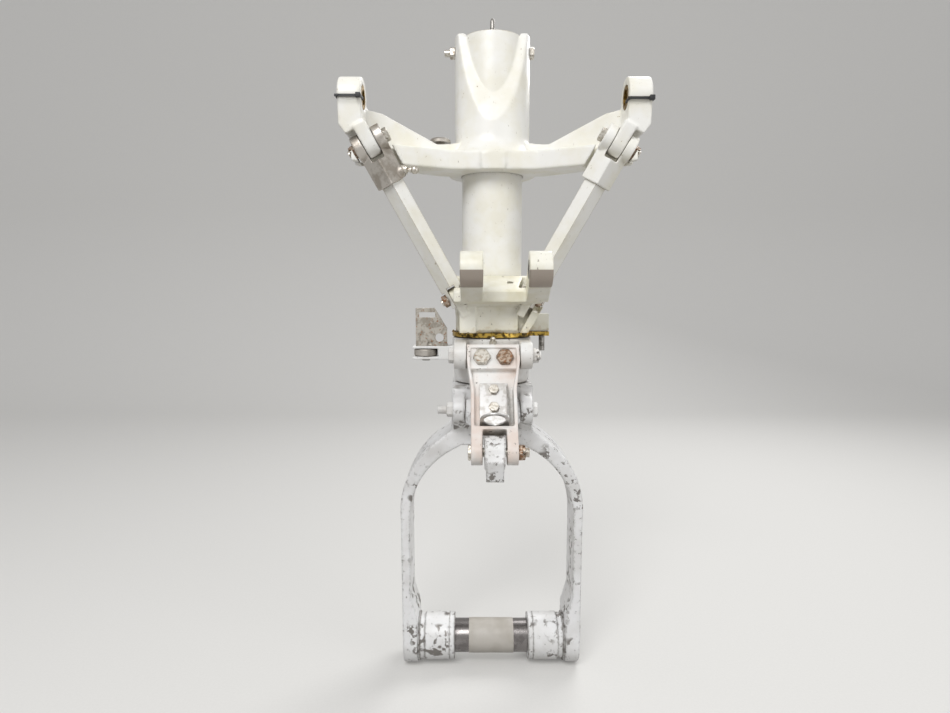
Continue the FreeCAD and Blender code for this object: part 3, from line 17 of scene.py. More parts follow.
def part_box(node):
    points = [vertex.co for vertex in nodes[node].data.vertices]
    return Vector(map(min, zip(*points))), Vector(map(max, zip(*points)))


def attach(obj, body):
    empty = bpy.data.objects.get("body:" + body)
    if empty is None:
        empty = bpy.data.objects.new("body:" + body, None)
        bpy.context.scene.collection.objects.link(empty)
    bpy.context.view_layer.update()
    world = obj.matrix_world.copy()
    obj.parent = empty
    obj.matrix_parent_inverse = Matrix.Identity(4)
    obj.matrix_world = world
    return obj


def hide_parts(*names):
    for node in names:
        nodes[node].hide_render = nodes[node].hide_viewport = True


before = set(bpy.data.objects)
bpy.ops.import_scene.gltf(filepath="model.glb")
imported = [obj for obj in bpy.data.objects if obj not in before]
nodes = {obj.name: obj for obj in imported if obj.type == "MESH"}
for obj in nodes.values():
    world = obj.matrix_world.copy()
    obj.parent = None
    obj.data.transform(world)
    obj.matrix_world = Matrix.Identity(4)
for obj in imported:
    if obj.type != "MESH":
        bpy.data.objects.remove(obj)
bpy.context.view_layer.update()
MM = 0.001


# %% [markdown]
# ## Two helpers for every material
# A colour is easiest to read as the hex value of a paint chart, but a shader wants linear light,
# so one function converts it. A second one adds a node to a tree, sets its settings, and links or
# fills its sockets, which keeps each material short enough to read as a recipe.

# %% Colours and nodes
def linear(hex_colour):
    """An sRGB hex value such as f2efe6 as linear red, green, blue and alpha."""
    parts = [int(hex_colour[i:i + 2], 16) / 255 for i in (0, 2, 4)]
    return [p / 12.92 if p <= 0.04045 else ((p + 0.055) / 1.055) ** 2.4 for p in parts] + [1.0]


def add(tree, kind, sockets=(), **settings):
    """Adds a node. A socket's value is a plain value, or another node's output to link."""
    node = tree.nodes.new(kind)
    for name, value in settings.items():
        setattr(node, name, value)
    for key, value in dict(sockets).items():
        if isinstance(value, bpy.types.NodeSocket):
            tree.links.new(value, node.inputs[key])
        else:
            node.inputs[key].default_value = value
    return node


def per(size_mm):
    """The scale of a pattern whose features are about that many millimetres across."""
    return 1 / (size_mm * MM)


def start(name):
    """A new material, its tree and its shader, with the position on the piece."""
    made = bpy.data.materials.new(name)
    made.use_nodes = True
    tree = made.node_tree
    place = add(tree, "ShaderNodeTexCoord").outputs["Object"]
    return made, tree, tree.nodes["Principled BSDF"], place


print("white paint in linear light:", [round(v, 3) for v in linear("f4f2ec")[:3]])


# %% [markdown]
# ## Masks: where the wear is
# Paint wears on corners and where things rub, and dirt stays in creases. The Bevel node gives the
# normal that a rounded corner would have, and where it differs from the face's own normal there
# is an edge. Ambient occlusion does the opposite and finds the creases, where the colour is
# darkened for dirt and as painted shade. Noise breaks both up, so that no mask ends in a clean
# line.

# %% Spots of a chosen size and share
NOISE_MIDDLE = 0.5
NOISE_SPREAD = 0.085


def noise_level(share):
    """The value that about that share of a noise lies above, taking the noise for a bell curve."""
    return NormalDist(NOISE_MIDDLE, NOISE_SPREAD).inv_cdf(1 - share)


def spots(tree, place, size_mm, share, soft=0.02, detail=6.0, stretch=(1, 1, 1)):
    """A mask of ragged spots of that size, which cover about that share of the surface."""
    mapped = add(tree, "ShaderNodeMapping", {"Vector": place, "Scale": stretch})
    noise = add(tree, "ShaderNodeTexNoise",
                {"Vector": mapped.outputs[0], "Scale": per(size_mm), "Detail": detail,
                 "Roughness": 0.62})
    level = noise_level(share)
    return add(tree, "ShaderNodeMapRange",
               {"Value": noise.outputs["Fac"], "From Min": level - soft,
                "From Max": level + soft}).outputs[0]


print("noise level over which a tenth of a surface lies:", round(noise_level(0.1), 3))


# %% Worn corners
# Wear is the bend of the surface plus noise, and it shows above a level that more wear lowers
RAGGED_MM = 5
CORNER_WEIGHT = 4.0
CORNER_NOISE = 1.4
CORNER_LEVEL = 1.75
CORNER_FADE = 0.1


def corners(tree, place, radius_mm, wear):
    """A mask of worn corners, and the normal that softens them. More wear takes more paint."""
    softened = add(tree, "ShaderNodeBevel", {"Radius": radius_mm * MM}, samples=6).outputs[0]
    own = add(tree, "ShaderNodeNewGeometry").outputs["Normal"]
    likeness = add(tree, "ShaderNodeVectorMath", {0: softened, 1: own},
                   operation="DOT_PRODUCT").outputs["Value"]
    # On a flat the two normals agree, so the bend is nothing there and its paint stays
    bend = add(tree, "ShaderNodeMath", {0: likeness, 1: -CORNER_WEIGHT, 2: CORNER_WEIGHT},
               operation="MULTIPLY_ADD").outputs[0]
    ragged = add(tree, "ShaderNodeTexNoise",
                 {"Vector": place, "Scale": per(RAGGED_MM), "Detail": 6.0, "Roughness": 0.7})
    total = add(tree, "ShaderNodeMath", {0: ragged.outputs["Fac"], 1: CORNER_NOISE, 2: bend},
                operation="MULTIPLY_ADD").outputs[0]
    mask = add(tree, "ShaderNodeMapRange",
               {"Value": total, "From Min": CORNER_LEVEL - wear,
                "From Max": CORNER_LEVEL + CORNER_FADE - wear})
    return mask.outputs[0], softened


# %% Inside a box
MASKED_EDGE = 0.3 * MM


def either(tree, first, second):
    """The stronger of two masks."""
    return add(tree, "ShaderNodeMath", {0: first, 1: second}, operation="MAXIMUM").outputs[0]


def inside(tree, place, low, high):
    """A mask of what lies between two corners, with a line as sharp as a masked edge."""
    low, high = Vector(low), Vector(high)
    offset = add(tree, "ShaderNodeVectorMath", {0: place, 1: (low + high) / 2},
                 operation="SUBTRACT").outputs[0]
    size = add(tree, "ShaderNodeVectorMath", {0: offset}, operation="ABSOLUTE").outputs[0]
    beyond = add(tree, "ShaderNodeVectorMath", {0: size, 1: (high - low) / 2},
                 operation="SUBTRACT").outputs[0]
    sides = add(tree, "ShaderNodeSeparateXYZ", {0: beyond}).outputs
    most = either(tree, either(tree, sides["X"], sides["Y"]), sides["Z"])
    return add(tree, "ShaderNodeMapRange", {"Value": most, "From Min": MASKED_EDGE,
                                            "From Max": -MASKED_EDGE}).outputs[0]


# %% Dirt and painted shade in the creases
# Openness plus noise is clean and unshaded above the first level, and dirty and painted dark as
# shade below the second
CREASE_NOISE = 0.45
CREASE_CLEAN_AND_LIT = 0.72
CREASE_DIRTY_AND_SHADED = 0.25


def creases(tree, place, reach_mm, amount):
    """A mask of the creases, where the colour is darkened for dirt and as painted shade."""
    openness = add(tree, "ShaderNodeAmbientOcclusion", {"Distance": reach_mm * MM},
                   samples=6).outputs["AO"]
    ragged = add(tree, "ShaderNodeTexNoise",
                 {"Vector": place, "Scale": per(RAGGED_MM), "Detail": 4.0})
    total = add(tree, "ShaderNodeMath", {0: ragged.outputs["Fac"], 1: CREASE_NOISE, 2: openness},
                operation="MULTIPLY_ADD").outputs[0]
    return add(tree, "ShaderNodeMapRange", {"Value": total, "From Min": CREASE_CLEAN_AND_LIT + amount,
                                            "From Max": CREASE_DIRTY_AND_SHADED + amount}).outputs[0]


def over(tree, mask, under, top):
    """A colour with another laid over it where the mask is. Either can be a hex value."""
    # The Mix node keeps a socket for each kind of value: its colours go in at 6 and 7
    under, top = (linear(c) if isinstance(c, str) else c for c in (under, top))
    return add(tree, "ShaderNodeMix", {0: mask, 6: under, 7: top}, data_type="RGBA").outputs[2]


# %% [markdown]
# ## What happens to paint
# Three things happen to sprayed paint, and each has its own small function. Grease from a joint
# stains it up to a ragged line. Stones knock flakes off it, and flakes come in patches, so a
# fine spot mask is multiplied by a coarse one. And the film has a thickness, which a bump shows
# as a step at every chip, over the orange peel that a spray gun leaves.

# %% Stains, flakes and the film
STAIN_MM = 7
PATCH_MM = 34
PEEL_MM = 2.5
PEEL_DEPTH = 0.05 * MM
FILM_STEP = 2.5


def stained_below(tree, place, top, run):
    """A mask of what lies below about that height, with a ragged edge that fades over the run."""
    height = add(tree, "ShaderNodeSeparateXYZ", {0: place}).outputs["Z"]
    ragged = add(tree, "ShaderNodeTexNoise",
                 {"Vector": place, "Scale": per(STAIN_MM), "Detail": 5.0}).outputs["Fac"]
    level = add(tree, "ShaderNodeMath", {0: ragged, 1: -2 * run, 2: height},
                operation="MULTIPLY_ADD").outputs[0]
    return add(tree, "ShaderNodeMapRange", {"Value": level, "From Min": top - 0.6 * run,
                                            "From Max": top - 1.6 * run}).outputs[0]


def flakes(tree, place, chip_mm, chips, patch_share):
    """A mask of chips of that size, which come in patches."""
    patches = spots(tree, place, PATCH_MM, patch_share, soft=0.03, detail=2)
    return add(tree, "ShaderNodeMath",
               {0: spots(tree, place, chip_mm, chips, soft=0.008), 1: patches},
               operation="MULTIPLY").outputs[0]


def film(tree, place, bare, softened):
    """The normal of a paint film that ends where the metal is bare."""
    peel = add(tree, "ShaderNodeTexNoise",
               {"Vector": place, "Scale": per(PEEL_MM), "Detail": 2.0}).outputs["Fac"]
    height = add(tree, "ShaderNodeMath", {0: bare, 1: -FILM_STEP, 2: peel},
                 operation="MULTIPLY_ADD").outputs[0]
    return add(tree, "ShaderNodeBump", {"Height": height, "Distance": PEEL_DEPTH,
                                        "Normal": softened}).outputs[0]


print("paint film stands", FILM_STEP * PEEL_DEPTH / MM, "mm above the bare metal")


# %% [markdown]
# ## Sprayed enamel over a casting
# The castings are aluminium alloy, primed and sprayed with gloss enamel, then used for years. One
# recipe has their four layers: the alloy, the enamel, its yellowing and scuffs, and the brown
# dirt in the creases, which also paints the shade that falls there. The finishes differ only in
# colour, wear, and dirt with its painted shade, so the recipe takes those as its inputs.

# %% The enamel recipe
MOTTLE_MM = 40
SCUFF_MM = 1.8
SCUFF_SHARE = 0.012
SCUFF_TINT = "a79f92"
PAINT_CREASE_MM = 8
AGED_ROUGHER = 0.14
BARE_ROUGHER = 0.12


def enamel(name, paint, aged, bare_metal="8d8985", dirt_and_shade="756a58", aged_share=0.4, chip_mm=5,
           chips=0.01, patch_share=0.5, corner_mm=1.0, wear=0.25, grime_and_shade=0.0, gloss=0.3,
           stain=None, bare_and_shade_box=None, bare_shine=0.7):
    """Paint that has aged, chipped and gathered dirt, with painted shade in its creases. Its gloss
    is its roughness when new.
    """
    made, tree, shader, place = start(name)
    aging = spots(tree, place, MOTTLE_MM, aged_share, soft=0.12, detail=3)
    colour = over(tree, aging, paint, aged)
    scuffs = spots(tree, place, SCUFF_MM, SCUFF_SHARE, stretch=(1, 1, 0.3))
    colour = over(tree, scuffs, colour, SCUFF_TINT)
    if stain:
        top, run, tint = stain
        colour = over(tree, stained_below(tree, place, top, run), colour, tint)
    worn, softened = corners(tree, place, corner_mm, wear)
    bare = either(tree, worn, flakes(tree, place, chip_mm, chips, patch_share))
    # A box of bare metal; on the lugs its grey is also painted shade
    if bare_and_shade_box:
        bare = either(tree, bare, inside(tree, place, *bare_and_shade_box))
    colour = over(tree, bare, colour, bare_metal)
    # Creases darkened towards the dirt colour: dirt, and painted shade where ambient occlusion
    # finds it
    colour = over(tree, creases(tree, place, PAINT_CREASE_MM, grime_and_shade), colour, dirt_and_shade)
    tree.links.new(colour, shader.inputs["Base Color"])
    shine = add(tree, "ShaderNodeMath", {0: bare, 1: bare_shine}, operation="MULTIPLY")
    tree.links.new(shine.outputs[0], shader.inputs["Metallic"])
    rough = add(tree, "ShaderNodeMapRange",
                {"Value": aging, "To Min": gloss, "To Max": gloss + AGED_ROUGHER}).outputs[0]
    rough = add(tree, "ShaderNodeMath", {0: bare, 1: BARE_ROUGHER, 2: rough},
                operation="MULTIPLY_ADD").outputs[0]
    tree.links.new(rough, shader.inputs["Roughness"])
    tree.links.new(film(tree, place, bare, softened), shader.inputs["Normal"])
    return made


# %% [markdown]
# ## Bare metal
# A metal's look is its tint and how rough it is. Use leaves stains that change both, so the
# recipe mixes a clean and a stained tint, and lets the roughness follow the same stain. Rust is
# no metal, so where it sits the metallic value drops. A turned or brushed part gets its grain
# from noise that is stretched along the grain.

# %% The bare metal recipe
RUST_MM = 3
RUST_TINT = "8a5a34"
METAL_CREASE_MM = 5
# The colour of dirt and of painted shade in a metal's creases
METAL_DIRT_AND_SHADE = "3d372d"
METAL_SHINE = 0.95
RUST_SHINE = 0.2


def metal(name, clean, stained, stain_mm=6, stain=0.4, rough=0.35, rougher=0.55, corner_mm=0.5,
          rust=0.005, grain=(1, 1, 1), grain_mm=0.8, grain_depth=0.02, grime_and_shade=0.0):
    """Bare metal with stains, rust, grain, and dirt with painted shade in its creases. The grain's
    scale is small along its own way.
    """
    made, tree, shader, place = start(name)
    stains = spots(tree, place, stain_mm, stain, soft=0.06)
    colour = over(tree, stains, clean, stained)
    rusty = spots(tree, place, RUST_MM, rust, soft=0.04)
    colour = over(tree, rusty, colour, RUST_TINT)
    # Creases darkened towards the dirt colour: dirt, and painted shade where ambient occlusion
    # finds it
    colour = over(tree, creases(tree, place, METAL_CREASE_MM, grime_and_shade), colour, METAL_DIRT_AND_SHADE)
    tree.links.new(colour, shader.inputs["Base Color"])
    shine = add(tree, "ShaderNodeMapRange",
                {"Value": rusty, "To Min": METAL_SHINE, "To Max": RUST_SHINE})
    tree.links.new(shine.outputs[0], shader.inputs["Metallic"])
    roughness = add(tree, "ShaderNodeMapRange",
                    {"Value": stains, "To Min": rough, "To Max": rougher}).outputs[0]
    tree.links.new(roughness, shader.inputs["Roughness"])
    softened = corners(tree, place, corner_mm, 0)[1]
    along = add(tree, "ShaderNodeMapping", {"Vector": place, "Scale": grain}).outputs[0]
    grains = add(tree, "ShaderNodeTexNoise",
                 {"Vector": along, "Scale": per(grain_mm), "Detail": 3.0}).outputs["Fac"]
    bump = add(tree, "ShaderNodeBump", {"Height": grains, "Distance": grain_depth * MM,
                                        "Normal": softened})
    tree.links.new(bump.outputs[0], shader.inputs["Normal"])
    return made


# %% [markdown]
# ## The painted finishes
# Cream enamel covers what stays with the aircraft's frame, white enamel what steers and slides.
# The fork and its spacers lose their white paint first, because the tyre throws stones at them,
# so their chips are large and the corners are bare. The paint of the lower casting is stained by
# grease from the ring under it.

# %% Paints
ring_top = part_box("stop_ring")[1][2]
lug_low, lug_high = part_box("lug_bushing_left")
lug_bore = (lug_low[2] + lug_high[2]) / 2
lug_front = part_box("lower_casting")[0][1]
# The lower front halves of the lugs, below their bores: bare metal whose grey is also painted
# shade on these down-facing faces
lug_bare_and_shade_faces = ((-60 * MM, lug_front - MM, lug_bore - 20 * MM),
             (60 * MM, lug_front + 16 * MM, lug_bore - 1 * MM))
finish = {
    # Gloss enamel, warm white, hardly chipped: broad soft highlights, brown where it is thin
    "cream_enamel": enamel("cream_enamel", "f6f5f0", "efecdf", bare_metal="b5a88e",
                           chips=0.015, wear=0.6, corner_mm=1.5, bare_shine=0.0),
    # The same enamel above the greased ring, where amber grease has run over its foot, and with
    # the lower faces of its lugs bare grey up to a masked line, a grey that is also painted shade
    "greased_cream_enamel": enamel("greased_cream_enamel", "f4f2e6", "e3dec6", chips=0.03,
                                   wear=0.45, grime_and_shade=0.06, stain=(ring_top, 14 * MM, "b0914a"),
                                   bare_metal="a0968c", bare_and_shade_box=lug_bare_and_shade_faces),
    # Cooler white on the steering parts, with dirt from handling and painted shade in the corners
    "white_enamel": enamel("white_enamel", "f1f1ef", "e0ddd8", chips=0.04, wear=0.5,
                           grime_and_shade=0.05),
    # The upper link's panel has turned pinkish beige where hands and rags have rubbed it
    "stained_white_enamel": enamel("stained_white_enamel", "efeeeb", "e3d5cb", aged_share=0.36,
                                   chips=0.03, wear=0.5, grime_and_shade=0.06),
    # White over bare cast alloy with flakes about 9 mm across: matt grey shows in ragged patches
    "chipped_white_enamel": enamel("chipped_white_enamel", "f3f3f3", "e4e3e1",
                                   bare_metal="85817d", chip_mm=9, chips=0.34,
                                   patch_share=0.3, corner_mm=3.2, wear=0.88, grime_and_shade=0.02),
    # Matt beige plastic tube over the axle: no chips, only a faint mottling
    "beige_acetal": enamel("beige_acetal", "c3beb6", "b0aaa0", aged_share=0.5, chips=0.001,
                           wear=0.0, corner_mm=0.3, gloss=0.4),
    # Black nylon of the ties: a dark plastic with a soft sheen
    "black_nylon": enamel("black_nylon", "1c1c1e", "28282a", chips=0.001, wear=0.0,
                          corner_mm=0.3, dirt_and_shade="141414", gloss=0.42),
}
print("painted and plastic finishes:", sorted(finish))

# %% [markdown]
# ## The bare finishes
# Bolts are cadmium plated and dulled, some nuts have rusted through their plating, and the left
# brace clevis has lost its paint. Sliding surfaces are bright: the piston is hard chromed and the
# axle ground, so both reflect the studio. The trunnion's bushings are bronze under dark grease.

# %% Castings, sheet and plated parts
finish.update({
    # Cast alloy without its paint: pale grey and matt, with a coarse grain
    "bare_casting": metal("bare_casting", "bdb8b1", "a19a91", stain_mm=14, rough=0.42,
                          rougher=0.52, grain_depth=0.05, grain_mm=1.6, rust=0.01),
    # Folded steel sheet with brown rust marks, which are dull against the bright sheet
    "rust_marked_sheet": metal("rust_marked_sheet", "c0bbb2", "9e988e", stain_mm=7, rough=0.42,
                               rougher=0.55, rust=0.09, grain_depth=0.04, grain_mm=1.4),
    # Aluminium sheet as it was rolled: clean and even, with a fine grain up and down
    "sheet_aluminium": metal("sheet_aluminium", "cdcccb", "b2afab", stain_mm=8, rough=0.36,
                             rougher=0.46, grain=(1, 1, 0.1)),
    # Cadmium plate on steel: a warm silver that handling has dulled in small blotches
    "cadmium_plate": metal("cadmium_plate", "d3cfc7", "aba498", stain_mm=3, rough=0.32,
                           rougher=0.48, rust=0.03),
    # The same plate where a quarter of it has rusted through: brown, rough and blotchy
    "rusted_plate": metal("rusted_plate", "b0a192", "7d6550", stain_mm=2.5, rough=0.4,
                          rougher=0.65, rust=0.25),
})
print("bare finishes so far:", len(finish))

# %% Sliding steel, bronze and grease
finish.update({
    # Turned steel without plating: mid grey with darker oil stains
    "plain_steel": metal("plain_steel", "9a9793", "6b6862", stain_mm=5, rough=0.3, rougher=0.5),
    # Ground steel of the axle: smooth, with faint marks along its length
    "ground_steel": metal("ground_steel", "8b8786", "767271", stain_mm=12, stain=0.3, rough=0.24,
                          rougher=0.32, grain=(0.05, 1, 1), grain_depth=0.006),
    # Hard chrome on the piston: the brightest and smoothest surface of the strut
    "hard_chrome": metal("hard_chrome", "dcdde0", "c9cacd", stain_mm=20, stain=0.2, rough=0.08,
                         rougher=0.15, grain=(1, 1, 0.05), grain_depth=0.003),
    # Bronze under old grease: a brown yellow, darkened in the creases by dirt and painted shade
    "greased_bronze": metal("greased_bronze", "a98a4e", "6b5527", stain_mm=4, stain=0.5,
                            rough=0.3, rougher=0.5, grime_and_shade=0.1),
    # Steel under a smear of amber grease, thin and golden in some places, dark in others
    "greasy_steel": metal("greasy_steel", "c9a954", "4a3d22", stain_mm=6, stain=0.45, rough=0.28,
                          rougher=0.45, grime_and_shade=0.1),
    # Grease is no metal, but dried beads of it shine much like old brass from here
    "amber_grease": metal("amber_grease", "9c7c34", "4a3c1e", stain_mm=3, rough=0.2,
                          rougher=0.35, rust=0.2),
})
print("finishes in all:", len(finish))

# %% [markdown]
# ## Which finish goes where
# A dictionary from finish to nodes reads like a paint schedule. Anything not named stays in
# cadmium plate, because what is left over on this strut is bolts, nuts, screws and small fittings.

# %% The paint schedule
SCHEDULE = {
    "cream_enamel": ["strut_cylinder", "cylinder_cap", "trunnion_casting", "brace_bar_left",
                     "brace_bar_right", "brace_clevis_right"],
    "greased_cream_enamel": ["lower_casting"],
    "white_enamel": ["steering_collar", "gland_nut", "upper_pivot_bolt", "upper_pivot_nut",
                     "lower_pivot_bolt", "lower_pivot_nut"],
    "stained_white_enamel": ["upper_torque_link"],
    "chipped_white_enamel": ["fork", "axle_spacer_left", "axle_spacer_right",
                             "lower_torque_link"],
    "bare_casting": ["brace_clevis_left", "steering_roller", "side_port"],
    "rust_marked_sheet": ["stop_bracket"],
    "rusted_plate": ["apex_nut", "brace_nut_left", "brace_nut_right", "link_face_bolt_right",
                     "brace_foot_nut_left", "brace_foot_nut_right"],
    "plain_steel": ["roller_pin", "stop_pin", "air_valve", "axle_plug_left",
                    "axle_plug_right", "axle_rod", "lug_bushing_left", "lug_bushing_right"],
    "ground_steel": ["axle_tube"],
    "hard_chrome": ["piston_tube"],
    "greased_bronze": ["trunnion_bushing_left", "trunnion_bushing_right"],
    "greasy_steel": ["stop_ring"],
    "sheet_aluminium": ["link_clip"],
    "beige_acetal": ["axle_sleeve"],
}
finish_of = {node: name for name, group in SCHEDULE.items() for node in group}
for name, part in nodes.items():
    part.data.materials.clear()
    part.data.materials.append(finish[finish_of.get(name, "cadmium_plate")])
print("left in cadmium plate:", sorted(set(nodes) - set(finish_of)))


# %% [markdown]
# ## Making a loose piece
# Every added piece keeps its object at the origin with its place in its mesh, as the CAD nodes
# do, and rides on the body that carries it. One helper does that for any mesh. A closed shell
# gets its normals recalculated first, so that its faces point outwards.

# %% Helpers for pieces
def middle(node):
    """The centre of a CAD node's box."""
    low, high = (Vector(corner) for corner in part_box(node))
    return (low + high) / 2


def settle(name, mesh, body, material):
    """An object at the origin for a mesh that is already in place, riding on its body."""
    mesh.materials.clear()
    mesh.materials.append(finish[material])
    mesh.shade_smooth()
    made_piece = bpy.data.objects.new(name, mesh)
    bpy.context.scene.collection.objects.link(made_piece)
    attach(made_piece, body)
    return made_piece


def piece(name, mesh, body, material):
    """A closed piece with its doubles merged, its faces outwards and its sharp edges sharp."""
    shell = bmesh.new()
    shell.from_mesh(mesh)
    bmesh.ops.remove_doubles(shell, verts=shell.verts, dist=0.001 * MM)
    bmesh.ops.recalc_face_normals(shell, faces=shell.faces)
    shell.to_mesh(mesh)
    shell.free()
    made_piece = settle(name, mesh, body, material)
    mesh.set_sharp_from_angle(angle=math.radians(40))
    return made_piece


def plain_mesh(holder):
    """The mesh that a curve or a modifier gives, without its holder."""
    bpy.context.scene.collection.objects.link(holder)
    evaluated = holder.evaluated_get(bpy.context.evaluated_depsgraph_get())
    mesh = bpy.data.meshes.new_from_object(evaluated)
    bpy.data.objects.remove(holder)
    return mesh


# %% [markdown]
# ## A liner behind a thin edge
# The next step wraps the castings in a skin, and a skin needs something to wrap. The trunnion
# casting's shell thins to nothing along its slanted cut, where the skin would tear. On the real
# strut the edge lies on the cylinder, so a plain tube goes behind it, hidden inside the
# cylinder's wall. The real strut has no such tube: it is there for the skin alone.

# %% The liner
LINER_SIDES = 96
LINER_GAP = 0.12 * MM
LINER_DEPTH = 3.6 * MM
LINER_FOOT = 0.0
LINER_TOP_GAP = 1.5 * MM


def add_liner(shape, cylinder):
    """Adds a closed tube to a shape, just under the surface of an upright cylinder's node."""
    low, high = (Vector(corner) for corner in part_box(cylinder))
    radius, centre = (high.x - low.x) / 2, (low.y + high.y) / 2
    wide, narrow = radius - LINER_GAP, radius - LINER_DEPTH
    foot, top = LINER_FOOT, high.z - LINER_TOP_GAP
    turns = [math.tau * i / LINER_SIDES for i in range(LINER_SIDES)]
    rings = [[shape.verts.new((r * math.cos(a), centre + r * math.sin(a), z)) for a in turns]
             for r, z in ((wide, foot), (wide, top), (narrow, top), (narrow, foot))]
    for ring, following in zip(rings, rings[1:] + rings[:1]):
        for i in range(LINER_SIDES):
            shape.faces.new((ring[i - 1], ring[i], following[i], following[i - 1]))


# %% [markdown]
# ## Castings with cast corners
# A casting has no sharp corner: the mould rounds the outer ones and fillets the inner ones. A
# clamped Bevel modifier stops at the smallest edge that it meets, and a casting with bores has
# many small ones. So a copy of the solid is turned into an even skin of small faces, and the skin
# is relaxed, which rounds both kinds of corner at once. The copy stands for the solid in the
# render, and the solid keeps its work in the motion. The skin's faces are 0.8 to 1.4 mm, smaller
# on a smaller casting.

# %% The castings
CASTINGS = {"fork": ("fork", 1.4), "trunnion_casting": ("housing", 1.35),
            "lower_casting": ("housing", 1.0), "upper_torque_link": ("upper_link", 0.8),
            "lower_torque_link": ("lower_link", 0.8), "brace_clevis_left": ("housing", 0.8),
            "brace_clevis_right": ("housing", 0.8), "steering_collar": ("steering", 1.0)}
RELAX_ROUNDS = 5


def cast(node, body, face_mm):
    """A copy of a solid with rounded corners, in the same material."""
    copy = nodes[node].data.copy()
    merged = bmesh.new()
    merged.from_mesh(copy)
    bmesh.ops.remove_doubles(merged, verts=merged.verts, dist=0.005 * MM)
    if node == "trunnion_casting":
        add_liner(merged, "strut_cylinder")
    merged.to_mesh(copy)
    merged.free()
    holder = bpy.data.objects.new(node + "_cast", copy)
    skin = holder.modifiers.new("skin", "REMESH")
    skin.mode = "VOXEL"
    skin.voxel_size = face_mm * MM
    relax = holder.modifiers.new("relax", "SMOOTH")
    relax.factor = 0.5
    relax.iterations = RELAX_ROUNDS
    made_cast = settle(node + "_cast", plain_mesh(holder), body, finish_of[node])
    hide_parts(node)
    return made_cast


for node, (body, face_mm) in CASTINGS.items():
    made_cast = cast(node, body, face_mm)
    print(node, "faces:", len(made_cast.data.polygons))

# %% [markdown]
# ## The nylon ties on the ears
# Each trunnion ear wears a cable tie, put through the bushing and round the front of the ear to
# hold it in store. A tie is a flat strap whose section never changes, so it is made by moving one
# small rectangle along a rounded rectangle, which is simpler and cleaner than bending a box. Its
# head is a block with rounded corners, and the tail sticks out of it.

# %% The tie's strap
STRAP = {"tall": 2.6 * MM, "thick": 1.1 * MM, "bend": 2.2 * MM}
BEND_STEPS = 6


def strap(left, right, front, back, height):
    """A closed band in a level plane, lying against those four sides."""
    bend, thick, half = STRAP["bend"], STRAP["thick"], STRAP["tall"] / 2
    turns = [(right - bend, front + bend, -90), (right - bend, back - bend, 0),
             (left + bend, back - bend, 90), (left + bend, front + bend, 180)]
    band = bmesh.new()
    rings = []
    for x, y, first in turns:
        for step in range(BEND_STEPS):
            angle = math.radians(first + 90 * step / (BEND_STEPS - 1))
            out = Vector((math.cos(angle), math.sin(angle), 0))
            centre = Vector((x, y, height))
            rings.append([band.verts.new(centre + out * (bend + deep) + Vector((0, 0, rise)))
                          for deep, rise in ((0, -half), (0, half), (thick, half),
                                             (thick, -half))])
    for ring, following in zip(rings, rings[1:] + rings[:1]):
        for i in range(4):
            band.faces.new((ring[i], ring[(i + 1) % 4], following[(i + 1) % 4], following[i]))
    return band


# %% The tie's head and tail
HEAD = Vector((5.2, 4.6, 4.8)) * MM
HEAD_INWARD = 0.35
HEAD_OUTWARD = 0.32
HEAD_CORNER = 0.7 * MM
TAIL = Vector((4.5 * MM, STRAP["thick"], STRAP["tall"]))
TAIL_OUTWARD = 0.9
TAIL_INWARD = 0.5 * MM
TAIL_CORNER = 0.3 * MM


def soft_block(band, centre, size, corner):
    """Adds a block with rounded edges to a band."""
    made_block = bmesh.ops.create_cube(band, size=1)["verts"]
    bmesh.ops.transform(band, verts=made_block,
                        matrix=Matrix.Translation(centre) @ Matrix.Diagonal((*size, 1)))
    around = list({edge for vertex in made_block for edge in vertex.link_edges})
    bmesh.ops.bevel(band, geom=around, offset=corner, segments=3, affect="EDGES", profile=0.5)


# %% Both ties
BORE_RADIUS = 8 * MM
TIE_DROP = {"left": 3.5 * MM, "right": 6 * MM}
ear_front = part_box("trunnion_casting")[0][1]
for side, drop in TIE_DROP.items():
    bush_low, bush_high = (Vector(c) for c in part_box("trunnion_bushing_" + side))
    hub = (bush_low + bush_high) / 2
    hub.z -= drop
    bore_front = hub.y - math.sqrt(BORE_RADIUS ** 2 - drop ** 2) + STRAP["thick"]
    tie = strap(bush_low.x, bush_high.x, ear_front, bore_front, hub.z)
    soft_block(tie, Vector((bush_high.x - HEAD.x * HEAD_INWARD,
                            ear_front - HEAD.y * HEAD_OUTWARD, hub.z)), HEAD, HEAD_CORNER)
    soft_block(tie, Vector((bush_low.x + TAIL_INWARD,
                            ear_front - STRAP["thick"] * TAIL_OUTWARD, hub.z)), TAIL, TAIL_CORNER)
    mesh = bpy.data.meshes.new("ear_tie_" + side)
    tie.to_mesh(mesh)
    tie.free()
    piece("ear_tie_" + side, mesh, "housing", "black_nylon")
    print("ear tie", side, "faces:", len(mesh.polygons))


# %% [markdown]
# ## Split pins through the castle nuts
# A castle nut is locked by a split pin: half-round wire folded to an eye, pushed through the
# bolt, with its two legs bent apart. The wire is one smooth curve with a round section, which is
# the natural tool for wire, and the curve is turned into a plain mesh before it is kept. The
# nut's own place and axis come from the frame, from its nut and bolt.

# %% Wire
def wire(name, points, thick):
    """A round wire along a smooth line through the region of those points."""
    curve = bpy.data.curves.new(name, "CURVE")
    curve.dimensions = "3D"
    curve.bevel_depth = thick / 2
    curve.bevel_resolution = 2
    curve.resolution_u = 6
    curve.use_fill_caps = True
    line = curve.splines.new("NURBS")
    line.points.add(len(points) - 1)
    for knot, point in zip(line.points, points):
        knot.co = (*point, 1)
    line.order_u = 3
    line.use_endpoint_u = True
    return plain_mesh(bpy.data.objects.new(name, curve))


